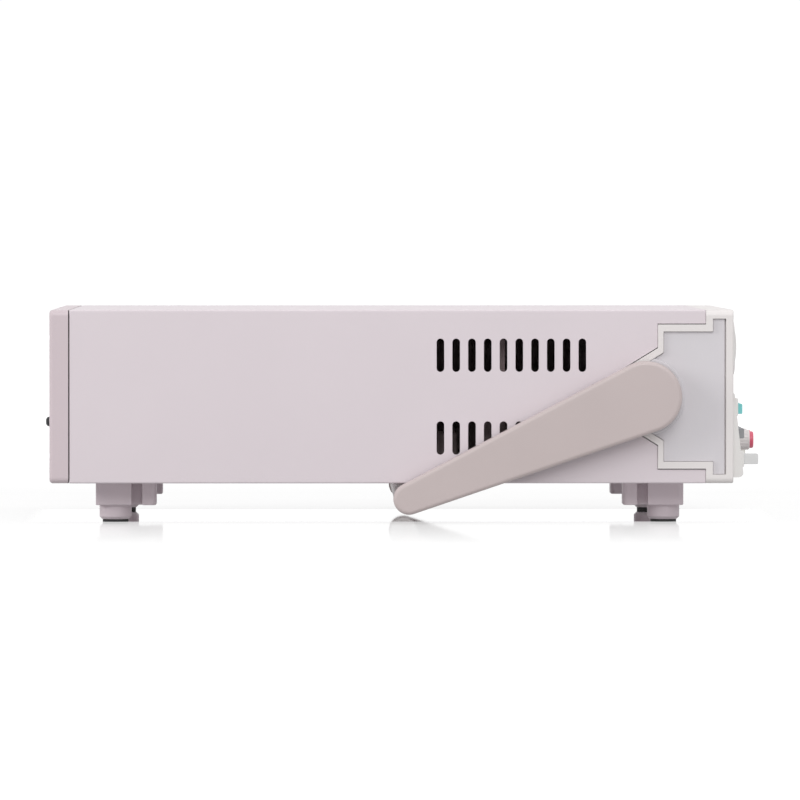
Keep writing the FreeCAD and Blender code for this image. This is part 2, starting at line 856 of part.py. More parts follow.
def make_tuning_control():
    across = cell("tuning_place")
    height = cell("tuning_rise")
    radius = cell("tuning_radius")
    knob = new_body("tuning_knob")
    revolve(knob, [
        (0, 6.0), (3.02, 6.0), (3.02, 0.9), (radius, 0.9), (radius, 1.8), (radius - 1.4, 2.6),
        (radius - 2.0, 9.6), (radius - 3.2, 10.6), (0, 10.6)])
    flute = pocket(knob, "XZ", [circle((0, radius - 1.0), 0.7)], 3.0, 10.0)
    repeat_round(knob, flute, 30)
    pocket(knob, "XZ", [circle((0, radius - 8.4), 4.6)], 9.6, 10.6 + EXTRA)
    knob.Placement.Rotation = HALF_TURN
    move_to(knob, (across, back(0), height))
    shaft = rod("shaft_rod", "Y", 3.0, (across, back(-5.9), height), 12.0)
    node(shaft, "tuning_shaft")
    housing = box("encoder_case",
                  (across - 7.0, back(3.8), height - 7.0), (across + 7.0, back(9.5), height + 7.0))
    bushing = rod("encoder_bushing", "Y", 4.4, (across, back(-0.4), height), 4.4)
    bore = rod("encoder_bore", "Y", 3.05, (across, back(-2.0), height), 8.4)
    solid = fuse("encoder_solid", [housing, bushing])
    node(cut("encoder", solid, bore), "tuning_encoder")


def make_small_knobs():
    """Push-on knobs with a moulded spindle, their red caps, and the potentiometers they turn."""
    radius = cell("knob_radius")
    height = cell("knob_row")
    tip = cell("front_proud")
    pots = []
    for name, across in (("amplitude", cell("amplitude_place")), ("offset", cell("offset_place"))):
        knob = new_body(f"{name}_knob")
        revolve(knob, [
            (0, -6.0), (2.0, -6.0), (2.0, 4.9), (radius, 4.9), (radius, tip - 2.6), (radius - 0.6, tip - 2.0),
            (4.45, tip - 2.0), (4.45, tip - 2.5), (0, tip - 2.5)])
        flute = pocket(knob, "XZ", [circle((0, radius + 0.3), 0.5)], 6.0, tip - 3.0)
        repeat_round(knob, flute, 18)
        pocket(knob, "XZ", [rectangle((-2.5, 1.4), (2.5, 2.6))], -7.0, -2.0)
        cap = new_body(f"{name}_knob_cap")
        revolve(cap, [(0, tip - 2.5), (4.4, tip - 2.5), (4.4, tip - 0.5), (3.9, tip), (0, tip)])
        pocket(cap, "XZ", [rectangle((-0.4, 1.0), (0.4, 5.0))], tip - 0.4, tip + EXTRA)
        for turned in (knob, cap):
            turned.Placement.Rotation = HALF_TURN
            move_to(turned, (across, back(0), height))
        housing = box(f"{name}_pot_case",
                      (across - 5.0, back(4.4), height - 5.5), (across + 5.0, back(9.5), height + 5.5))
        bushing = rod(f"{name}_pot_bushing", "Y", 3.5, (across, back(-1.6), height), 6.2)
        bore = rod(f"{name}_pot_bore", "Y", 2.05, (across, back(-3.0), height), 10.0)
        pots.append(cut(f"{name}_pot", fuse(f"{name}_pot_solid", [housing, bushing]), bore))
    group("knob_pots", pots)


def make_power_control():
    across = cell("button_place")
    height = cell("lower_row")
    button = new_body("power_button")
    pad(button, "XZ", [button_rectangle(0.0)], back(-13.5), back(0.6))
    fillet(button, 0.8, lies_at("Y", back(-13.5).value))
    pad(button, "XZ", [button_rectangle(0.9)], back(0.6), back(1.8))
    stem = rectangle((across - 2.0, height - 2.0), (across + 2.0, height + 2.0))
    pad(button, "XZ", [stem], back(1.8), back(17.0))
    switch = new_body("power_switch")
    housing = rectangle((across - 6.0, height - 5.5), (across + 6.0, height + 5.5))
    pad(switch, "XZ", [housing], back(13.0), back(38.0))
    well = rectangle((across - 2.4, height - 2.4), (across + 2.4, height + 2.4))
    pocket(switch, "XZ", [well], back(12.0), back(22.0))


# ---------------------------------------------------------------- connectors

def make_jack(label, across, seat, height, faces_back=False):
    """Coaxial bayonet socket: threaded body through the panel, flange, barrel with two lugs."""
    body = new_body(label)
    reach = cell("jack_reach")
    revolve(body, [
        (0, -9.0), (2.4, -9.0), (2.4, -7.0), (6.2, -7.0), (6.2, 0), (7.4, 0), (7.4, 1.6), (4.8, 1.6),
        (4.8, reach), (4.1, reach), (4.1, 3.0), (2.5, 3.0), (2.5, reach - 2.2), (0.7, reach - 2.2),
        (0.7, 5.0), (0, 5.0)])
    for side in (-1, 1):
        pad(body, "YZ", [circle((reach - 3.6, 0), 1.0)], *side_span(side, 4.5, 5.9))
    if not faces_back:
        body.Placement.Rotation = HALF_TURN
    move_to(body, (across, seat, height))


def hexagon(centre, flats):
    """Hexagon across flats, round a centre."""
    corner = flats / math.sqrt(3.0)
    points = []
    for number in range(6):
        angle = math.radians(60.0 * number + 30.0)
        points.append((centre[0] + corner * math.sin(angle), centre[1] + corner * math.cos(angle)))
    return polygon(points)


def make_jack_nuts():
    """Hexagon nuts that clamp the three sockets from behind their panels."""
    body = new_body("jack_nuts")
    front_low = back(cell("nut_seat"))
    for place in (cell("sync_place"), cell("output_place")):
        centre = (place, cell("jack_row"))
        pad(body, "XZ", [hexagon(centre, 15.0), circle(centre, 6.25)], front_low, front_low + 2.4)
    rear_high = back(cell("rear_face") - cell("rear_plate"))
    centre = rear_jack_place()
    pad(body, "XZ", [hexagon(centre, 15.0), circle(centre, 6.25)], rear_high - 2.4, rear_high)


def make_mains_inlet():
    """Three-pin appliance inlet with a slot beside it for the fuse drawer."""
    body = new_body("mains_inlet")
    low, high = inlet_corners()
    face = cell("rear_face")
    flange_low = (low[0] - 9.0, low[1] - 2.0)
    flange_high = (high[0] + 9.0, high[1] + 2.0)
    pad(body, "XZ", [rectangle(low, high)], back(face - 24.0), back(face))
    pad(body, "XZ", [rectangle(flange_low, flange_high)], back(face), back(face + 2.0))
    fillet(body, 4.0, runs_along("Y", lambda centre: centre.y > back(face).value))
    fillet(body, 0.6, lies_at("Y", back(face + 2.0).value))
    left, right = low[0] + 2.0, high[0] - 2.0
    floor, roof = low[1] + 2.0, low[1] + 18.0
    slant = 5.0
    socket = polygon([
        (left, floor), (right, floor), (right, roof - slant), (right - slant, roof),
        (left + slant, roof), (left, roof - slant)])
    pocket(body, "XZ", [socket], back(face - 16.5), back(face + 2.0 + EXTRA))
    middle = (left + right) / 2
    blades = []
    for across, height in ((middle, floor + 11.0), (middle - 7.0, floor + 6.0), (middle + 7.0, floor + 6.0)):
        blades.append(rectangle((across - 1.0, height - 2.0), (across + 1.0, height + 2.0)))
    pad(body, "XZ", blades, back(face - 17.0), back(face - 4.0))
    pocket(body, "XZ", [drawer_rectangle(0.3)], back(face - 20.0), back(face + 2.0 + EXTRA))
    level = (low[1] + high[1]) / 2
    screws = [circle((across, level), 1.7) for across in (flange_low[0] + 4.5, flange_high[0] - 4.5)]
    pocket(body, "XZ", screws, back(face - EXTRA), back(face + 2.0 + EXTRA))


def inlet_corners():
    """Low and high corners of the inlet's body on the rear panel."""
    low = (cell("inlet_left"), cell("inlet_base"))
    return low, (low[0] + cell("inlet_width"), low[1] + cell("inlet_height"))


def ground_place():
    return (cell("ground_across"), cell("ground_height"))


def rear_jack_place():
    return (cell("rear_jack_across"), cell("rear_jack_height"))


def drawer_rectangle(gap):
    low, high = inlet_corners()
    return rectangle((low[0] + 2.5 - gap, high[1] - 8.5 - gap), (high[0] - 2.5 + gap, high[1] - 1.5 + gap))


def make_fuse_drawer():
    body = new_body("fuse_drawer")
    face = cell("rear_face")
    pad(body, "XZ", [drawer_rectangle(0.0)], back(face - 19.0), back(face + 2.4))
    low, high = inlet_corners()
    trough = rectangle((low[0] + 4.0, high[1] - 7.0), (high[0] - 4.0, high[1] - 0.5))
    pocket(body, "XZ", [trough], back(face - 18.0), back(face - 1.0))


def make_ground_terminal():
    """Domed chassis-ground stud on the rear panel."""
    body = new_body("ground_terminal")
    reach = cell("case_depth") + cell("ground_proud") - cell("rear_face")
    revolve(body, [
        (0, -6.0), (2.0, -6.0), (2.0, 0), (5.0, 0), (5.0, 3.0), (2.6, 3.0), (2.6, reach - 1.6),
        (2.2, reach - 0.6), (1.3, reach), (0, reach)])
    move_to(body, (ground_place()[0], back(cell("rear_face")), ground_place()[1]))


# ---------------------------------------------------------------- handle

def make_handle_arm(side, label):
    """Tapered arm built along its own Y axis from the hub, then turned to its rest angle."""
    body = new_body(label)
    inner = cell("arm_inner")
    outer = inner + cell("arm_thickness")
    profile = capsule((0, 0), cell("hub_radius"), (cell("arm_reach"), 0), cell("tip_radius"))
    pad(body, "YZ", [profile], *side_span(side, inner, outer))
    fillet(body, cell("arm_edge"), lies_at("X", outer.value * side))
    pocket(body, "YZ", [circle((0, 0), cell("pivot_bore"))], *side_span(side, inner - EXTRA, outer - 2.0))
    pocket(body, "YZ", [circle((cell("arm_reach"), 0), 4.6)], *side_span(side, inner - EXTRA, inner + 6.0))
    turn_to_rest(body)


def make_handle_grip():
    """Round cross bar whose spigots plug into the arms' ends."""
    body = new_body("handle_grip")
    inner = cell("arm_inner")
    centre = (cell("arm_reach"), 0)
    pad(body, "YZ", [circle(centre, cell("grip_radius"))], -inner, inner)
    for side in (-1, 1):
        pad(body, "YZ", [circle(centre, 4.5)], *side_span(side, inner, inner + 5.8))
    turn_to_rest(body)


def turn_to_rest(body):
    body.Placement.Rotation = FreeCAD.Rotation(FreeCAD.Vector(-1, 0, 0), SIZES["arm_angle"])
    bind(body, "Placement.Rotation.Angle", cell("arm_angle"))
    move_to(body, (0, hub_place()[0], hub_place()[1]))


def make_handle_pivots():
    """Headed shoulder pins, fast in the ears, on which the arms turn."""
    pins = []
    inner = half_width() + cell("bezel_proud") - cell("ear_wall")
    end = cell("arm_inner") + cell("arm_thickness") - 2.2
    for side in (-1, 1):
        low, high = side_span(side, inner - 3.0, end)
        shank = rod(f"pivot_shank_{side + 1}", "X", cell("pivot_radius"), (low, *hub_place()), high - low)
        low, high = side_span(side, inner - 3.5, inner - 0.1)
        head = rod(f"pivot_head_{side + 1}", "X", 7.0, (low, *hub_place()), high - low)
        pins.append(fuse(f"pivot_{side + 1}", [shank, head]))
    group("handle_pivots", pins)


# ---------------------------------------------------------------- feet

def foot_places():
    """Name, side and end of each foot: end 1 is the rear."""
    return [
        ("front_left_foot", -1, -1), ("front_right_foot", 1, -1),
        ("rear_left_foot", -1, 1), ("rear_right_foot", 1, 1)]


def foot_end(end):
    """Y of the foot's outer end, and the way its small lobe lies."""
    if end < 0:
        return back(cell("front_foot_depth"))
    return back(cell("case_depth") - cell("rear_foot_depth"))


def foot_centres():
    """X and Y of the round posts."""
    middle = half_width() - cell("foot_inset") - cell("foot_width") / 2
    setback = cell("foot_post_place")
    return [(middle * side, foot_end(end) - setback * end) for label, side, end in foot_places()]


def make_feet():
    """Moulded blocks with a waist between a long and a short lobe, and a round post below."""
    base = cell("case_base")
    block = cell("foot_block_base")
    for (label, side, end), centre in zip(foot_places(), foot_centres()):
        body = new_body(label)
        outer = half_width() - cell("foot_inset")
        low, high = side_span(side, outer - cell("foot_width"), outer)
        edge = foot_end(end)
        inward = -end
        first, last = sorted((edge, edge + cell("foot_long") * inward), key=lambda place: place.value)
        pad(body, "XY", [rectangle((low, first), (high, last))], block, base)
        fillet(body, 2.5, runs_along("Z"))
        waist = sorted((edge + cell("foot_waist_near") * inward, edge + cell("foot_waist_far") * inward),
                       key=lambda place: place.value)
        deep = cell("foot_waist_cut")
        grooves = [rectangle((low - EXTRA, waist[0]), (low + deep, waist[1])),
                   rectangle((high - deep, waist[0]), (high + EXTRA, waist[1]))]
        pocket(body, "XY", grooves, block - EXTRA, base + EXTRA)
        fillet(body, 0.6, lies_at("Z", block.value))
        pad(body, "XY", [circle(centre, cell("foot_post_radius"))], cell("pad_thickness"), block)
        chamfer(body, 1.3, lies_at("Z", cell("pad_thickness").value))
        pocket(body, "XY", [circle(centre, 2.1)], block - EXTRA, base + EXTRA)
        pocket(body, "XY", [circle(centre, 4.2)], cell("pad_thickness") - EXTRA, block + 2.0)


def make_foot_pads():
    body = new_body("foot_pads")
    for centre in foot_centres():
        ring = [circle(centre, cell("pad_radius")), circle(centre, 4.6)]
        pad(body, "XY", ring, 0, cell("pad_thickness"))


def make_foot_screws():
    body = new_body("foot_screws")
    seat = cell("foot_block_base") + 2.0
    for centre in foot_centres():
        pad(body, "XY", [circle(centre, 3.8)], seat - 2.6, seat)
        pad(body, "XY", [circle(centre, 1.9)], seat - 0.5, cell("case_base") + 4.0)
    recesses = [cross_recess(centre, 4.0) for centre in foot_centres()]
    pocket(body, "XY", recesses, seat - 2.6 - EXTRA, seat - 1.4)


def make_case_screws():
    body = new_body("case_screws")
    rear = cell("case_depth")
    for place in rear_screw_places():
        pad(body, "XZ", [circle(place, 2.8)], back(rear - 2.4), back(rear - 0.6))
        pad(body, "XZ", [circle(place, 1.5)], back(rear - 12.0), back(rear - 2.0))
    recesses = [cross_recess(place, 3.4) for place in rear_screw_places()]
    pocket(body, "XZ", recesses, back(rear - 1.7), back(rear - 0.6 + EXTRA))


def cross_recess(centre, length):
    """Plus-shaped screwdriver recess."""
    far = length / 2
    near = 0.45
    corners = [(far, -near), (far, near), (near, near), (near, far), (-near, far), (-near, near),
               (-far, near), (-far, -near), (-near, -near), (-near, -far), (near, -far), (near, -near)]
    return polygon([(centre[0] + across, centre[1] + up) for across, up in corners])


# ---------------------------------------------------------------- electronics

def make_boards():
    height = cell("case_base") + cell("sheet") + cell("pillar_height")
    for label, (low, high, left, right) in zip(("main_board", "power_board"), BOARD_PLACES):
        plate = box(f"{label}_plate", (left, back(low), height), (right, back(high), height + cell("board")))
        node(plate, label)


def make_board_parts():
    """Shield can, chips, capacitors and a heat spreader standing on the boards."""
    base = cell("case_base") + cell("sheet") + cell("pillar_height") + cell("board")
    pieces = []
    for number, (depth, across, long, wide, tall) in enumerate(BLOCK_PARTS):
        pieces.append(box(f"block_{number}",
                          (across, back(depth), base), (across + wide, back(depth + long), base + tall)))
    for number, (depth, across, radius, tall) in enumerate(ROUND_PARTS):
        pieces.append(rod(f"can_{number}", "Z", radius, (across, back(depth), base), tall))
    group("board_parts", pieces)


def make_transformer():
    """Laminated core with two windows and the coil that fills them."""
    floor = cell("case_base") + cell("sheet")
    left, right = -98.0, -41.0
    near, far = 262.0, 296.0
    core = new_body("transformer_core")
    pad(core, "XZ", [rectangle((left, floor), (right, floor + 48.0))], back(near), back(far))
    windows = [rectangle((left + 9.5, floor + 9.5), (left + 19.0, floor + 38.5)),
               rectangle((right - 19.0, floor + 9.5), (right - 9.5, floor + 38.5))]
    pocket(core, "XZ", windows, back(near - EXTRA), back(far + EXTRA))
    coil = new_body("transformer_coil")
    pad(coil, "XY", [rectangle((left + 9.7, back(near - 8.0)), (right - 9.7, back(far + 8.0)))],
        floor + 9.8, floor + 38.2)
    fillet(coil, 3.0, runs_along("Z"))
    pocket(coil, "XY", [rectangle((left + 18.8, back(near - 0.2)), (right - 18.8, back(far + 0.2)))],
           floor + 9.0, floor + 40.0)


def make_everything():
    make_top_cover()
    make_bottom_cover()
    make_front_bezel()
    make_side_trim(-1, "left_side_trim")
    make_side_trim(1, "right_side_trim")
    make_rear_bezel()
    make_rear_panel()
    make_front_panel()
    make_keys()
    make_display_window()
    make_display_module()
    make_control_board()
    make_key_switches()
    make_tuning_control()
    make_small_knobs()
    make_power_control()
    seat = back(cell("jack_seat"))
    make_jack("sync_jack", cell("sync_place"), seat, cell("jack_row"))
    make_jack("output_jack", cell("output_place"), seat, cell("jack_row"))
    across, height = rear_jack_place()
    make_jack("rear_jack", across, back(cell("rear_face")), height, faces_back=True)
    make_jack_nuts()
    make_mains_inlet()
    make_fuse_drawer()
    make_ground_terminal()
    make_handle_arm(-1, "handle_left_arm")
    make_handle_arm(1, "handle_right_arm")
    make_handle_grip()
    make_handle_pivots()
    make_feet()
    make_foot_pads()
    make_foot_screws()
    make_case_screws()
    make_boards()
    make_board_parts()
    make_transformer()


def check_document():
    """Stops before anything is written if a feature failed or a piece has no sound shape."""
    faults = []
    for item in DOC.Objects:
        if any(state in ("Invalid", "Error") for state in item.State):
            faults.append(f"{item.Label}: {item.State}")
    for label, item in NODES:
        if item.Shape.isNull() or not item.Shape.isValid() or not item.Shape.Solids:
            faults.append(f"{label}: no sound shape")
    if faults:
        raise RuntimeError("; ".join(faults))


def write_parts():
    os.makedirs("parts", exist_ok=True)
    for label, item in NODES:
        item.Shape.exportStep(f"parts/{label}.step")
        print(label, len(item.Shape.Solids), round(item.Shape.Volume))


fill_sheet()
make_everything()
DOC.recompute()
check_document()
write_parts()
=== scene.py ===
import json
import math

import bmesh
import bpy
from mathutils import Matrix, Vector


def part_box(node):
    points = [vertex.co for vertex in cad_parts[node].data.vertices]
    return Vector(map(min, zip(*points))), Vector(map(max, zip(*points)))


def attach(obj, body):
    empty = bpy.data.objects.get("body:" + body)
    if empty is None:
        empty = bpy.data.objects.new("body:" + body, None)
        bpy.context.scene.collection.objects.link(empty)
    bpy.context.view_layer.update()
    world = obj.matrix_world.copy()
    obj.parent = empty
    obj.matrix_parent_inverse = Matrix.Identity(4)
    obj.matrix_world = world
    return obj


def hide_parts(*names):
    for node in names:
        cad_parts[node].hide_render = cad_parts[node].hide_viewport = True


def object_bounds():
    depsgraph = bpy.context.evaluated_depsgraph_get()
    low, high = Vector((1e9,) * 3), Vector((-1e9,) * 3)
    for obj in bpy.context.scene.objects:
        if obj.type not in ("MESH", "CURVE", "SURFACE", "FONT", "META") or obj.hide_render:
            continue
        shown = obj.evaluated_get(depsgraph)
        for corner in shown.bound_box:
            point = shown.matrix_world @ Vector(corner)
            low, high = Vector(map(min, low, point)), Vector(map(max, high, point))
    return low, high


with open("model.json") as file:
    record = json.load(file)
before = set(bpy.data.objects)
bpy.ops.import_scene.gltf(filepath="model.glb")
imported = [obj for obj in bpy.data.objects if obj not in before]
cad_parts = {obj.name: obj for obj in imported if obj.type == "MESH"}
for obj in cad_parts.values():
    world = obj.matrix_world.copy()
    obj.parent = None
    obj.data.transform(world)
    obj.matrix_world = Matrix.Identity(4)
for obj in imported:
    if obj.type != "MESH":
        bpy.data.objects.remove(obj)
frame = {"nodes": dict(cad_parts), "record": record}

CAD_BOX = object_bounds()
NODES = frame["nodes"]
MM = 0.001
OUT = Vector((0.0, -1.0, 0.0))
REAR = Vector((0.0, 1.0, 0.0))

# stage brightness
FLOOR_GLOW = 0.76       # floor as the camera sees it, near the object
FLOOR_BOUNCE = 0.24     # floor as a light source from below
FLOOR_SHADE = 0.35      # share of that bounce which is left under the object
FLOOR_GLOSS = 0.37      # gloss around the object, at a grazing look
BACKDROP = 1.03         # room as the camera sees it
AMBIENT = 0.5           # room as a light source

# where the floor changes, in metres outside the object's footprint
SIDE_INSET = 0.045      # how far the footprint's long sides lie inside the object's box
GLOW_FADE = (0.28, 1.6)
SHADE_FADE = (0.0, 0.08)
MIRROR_FADE = (0.0, 0.015)
GLOSS_FADE = (0.03, 0.31)

# camera, measured from the top cover's left side, the bezel's front and the cover's top
CAMERA_DISTANCE = 4.13
CAMERA_BEHIND = 0.2131
CAMERA_RISE = 0.042
AIM_BEHIND = 0.1692
AIM_DROP = 0.0457
PICTURE_WIDTH = 0.4056  # width of the picture at the cover's side
FILM_WIDTH = 36.0

# closed (radius, along) outlines of turned details, in millimetres
INSULATOR_OUTLINE = ((1.0, -0.3), (2.42, -0.3), (2.42, 0.25), (2.25, 0.4), (1.15, 0.4), (1.0, 0.25))
CONTACT_OUTLINE = ((0.5, -1.6), (0.66, -1.6), (0.66, -0.2), (0.98, -0.2), (0.98, 0.45), (0.84, 0.6),
                   (0.62, 0.6), (0.5, 0.45))
SCREW_OUTLINE = ((0.0, -2.0), (1.6, -2.0), (1.6, 0.0), (2.9, 0.02), (2.9, 0.5), (2.5, 1.0), (1.6, 1.3),
                 (0.0, 1.4))

# printed and moulded marks
INK_LINE = 0.4 * MM     # printed stroke on a panel
SIGN_LINE = 0.45 * MM   # stroke of a sign on a key, and of the earth sign
TICK_LINE = 0.3 * MM    # scale tick round a knob
KNOB_SWING = 140.0      # degrees that a knob turns each way from its middle
KNOB_TICKS = 11

# display
DIGITS = 11
DIGIT_PITCH = 9.6 * MM
SIDE_RIM = 5.0 * MM     # moulded frame beside the window's pane
END_RIM = 2.6 * MM      # moulded frame above and below the pane
PANE_GAP = 0.03 * MM
PANE_RECESS = 0.4 * MM
PANE_THICKNESS = 1.4 * MM
MASK_SIDE = 11.0 * MM   # black border's inner edge, from the window's side
MASK_END = 5.2 * MM     # the same from its top and bottom


# ---------------------------------------------------------------- shader helpers

def add_node(tree, kind, **settings):
    item = tree.nodes.new(kind)
    for name, value in settings.items():
        setattr(item, name, value)
    return item


def wire(tree, source, target):
    tree.links.new(source, target)


def noise(tree, coordinates, scale, detail=3.0, roughness=0.55):
    item = add_node(tree, "ShaderNodeTexNoise")
    item.inputs["Scale"].default_value = scale
    item.inputs["Detail"].default_value = detail
    item.inputs["Roughness"].default_value = roughness
    wire(tree, coordinates, item.inputs["Vector"])
    return item.outputs["Fac"]


def remap(tree, value, low, high, start=0.3, end=0.7):
    item = add_node(tree, "ShaderNodeMapRange")
    item.inputs["From Min"].default_value = start
    item.inputs["From Max"].default_value = end
    item.inputs["To Min"].default_value = low
    item.inputs["To Max"].default_value = high
    wire(tree, value, item.inputs["Value"])
    return item.outputs["Result"]


def mix_colour(tree, factor, first, second):
    """Colours are tuples or sockets."""
    item = add_node(tree, "ShaderNodeMix", data_type="RGBA")
    wire(tree, factor, item.inputs["Factor"])
    for socket, colour in ((item.inputs[6], first), (item.inputs[7], second)):
        if isinstance(colour, tuple):
            socket.default_value = (*colour, 1.0)
        else:
            wire(tree, colour, socket)
    return item.outputs[2]


def linear(red, green, blue):
    """Scene-linear colour of an sRGB colour given in 0..255."""
    def one(level):
        share = level / 255.0
        return share / 12.92 if share <= 0.04045 else ((share + 0.055) / 1.055) ** 2.4
    return (one(red), one(green), one(blue))


def scaled(colour, factor):
    return tuple(min(1.0, channel * factor) for channel in colour)


def edge_mask(tree, radius, sharpness=6.0):
    """1 along edges and 0 on flat faces, from the rounded normal, which is returned too."""
    bevel = add_node(tree, "ShaderNodeBevel", samples=4)
    bevel.inputs["Radius"].default_value = radius
    geometry = add_node(tree, "ShaderNodeNewGeometry")
    dot = add_node(tree, "ShaderNodeVectorMath", operation="DOT_PRODUCT")
    wire(tree, bevel.outputs["Normal"], dot.inputs[0])
    wire(tree, geometry.outputs["Normal"], dot.inputs[1])
    return remap(tree, dot.outputs["Value"], 1.0, 0.0, start=1.0 - 1.0 / sharpness, end=0.998), bevel


def material(name, colour, rough=0.5, rough_spread=0.08, grain=2200.0, grain_depth=0.03, tone=0.04,
             tone_scale=18.0, edge=0.25, edge_tint=None, edge_radius=0.35, metallic=0.0, coat=0.0,
             specular=0.5, streak=None, second=None):
    """Moulded, painted or plated surface: mottled tone, fine grain, mixed gloss, and edges painted lighter
    as a painted highlight mixed with wear.
    """
    made = bpy.data.materials.new(name)
    made.use_nodes = True
    tree = made.node_tree
    shader = tree.nodes["Principled BSDF"]
    shader.inputs["Metallic"].default_value = metallic
    shader.inputs["Coat Weight"].default_value = coat
    shader.inputs["Coat Roughness"].default_value = 0.15
    shader.inputs["Specular IOR Level"].default_value = specular
    place = add_node(tree, "ShaderNodeTexCoord").outputs["Object"]
    fine_place = place
    if streak:
        stretch = add_node(tree, "ShaderNodeMapping")
        stretch.inputs["Scale"].default_value = streak
        wire(tree, place, stretch.inputs["Vector"])
        fine_place = stretch.outputs["Vector"]
    broad = noise(tree, place, tone_scale)
    fine = noise(tree, fine_place, grain, detail=2.0)
    dark, light = scaled(colour, 1.0 - tone), scaled(colour, 1.0 + tone * 0.6)
    shade = mix_colour(tree, remap(tree, broad, 0.0, 1.0), dark, light)
    if second:
        shade = mix_colour(tree, remap(tree, fine, 0.0, 1.0, 0.45, 0.62), shade, second)
    # edges get a lighter colour: a painted highlight along every edge, broken up by noise like wear
    mask, bevel = edge_mask(tree, edge_radius * MM)
    edge_highlight_and_wear = edge_tint if edge_tint else scaled(colour, 1.12)
    weight = add_node(tree, "ShaderNodeMath", operation="MULTIPLY")
    wire(tree, mask, weight.inputs[0])
    wire(tree, remap(tree, noise(tree, place, 160.0), 0.25 * edge, edge), weight.inputs[1])
    wire(tree, mix_colour(tree, weight.outputs[0], shade, edge_highlight_and_wear), shader.inputs["Base Color"])
    gloss = add_node(tree, "ShaderNodeMath", operation="ADD")
    wire(tree, remap(tree, broad, rough - rough_spread, rough + rough_spread), gloss.inputs[0])
    wire(tree, remap(tree, noise(tree, place, 420.0), -0.03, 0.03), gloss.inputs[1])
    wire(tree, gloss.outputs[0], shader.inputs["Roughness"])
    bump = add_node(tree, "ShaderNodeBump")
    bump.inputs["Strength"].default_value = 0.6
    bump.inputs["Distance"].default_value = grain_depth * MM
    wire(tree, fine, bump.inputs["Height"])
    wire(tree, bevel.outputs["Normal"], bump.inputs["Normal"])
    wire(tree, bump.outputs["Normal"], shader.inputs["Normal"])
    return made


def clear_material(name, colour, rough):
    """Clear plastic with a faint tint and fine handling marks."""
    made = bpy.data.materials.new(name)
    made.use_nodes = True
    tree = made.node_tree
    shader = tree.nodes["Principled BSDF"]
    shader.inputs["Base Color"].default_value = (*colour, 1.0)
    shader.inputs["Transmission Weight"].default_value = 1.0
    shader.inputs["IOR"].default_value = 1.2
    place = add_node(tree, "ShaderNodeTexCoord").outputs["Object"]
    wire(tree, remap(tree, noise(tree, place, 90.0), rough, rough + 0.05), shader.inputs["Roughness"])
    bump = add_node(tree, "ShaderNodeBump")
    bump.inputs["Strength"].default_value = 0.15
    bump.inputs["Distance"].default_value = 0.01 * MM
    wire(tree, noise(tree, place, 700.0), bump.inputs["Height"])
    wire(tree, bump.outputs["Normal"], shader.inputs["Normal"])
    return made


# ---------------------------------------------------------------- materials of the record's slots

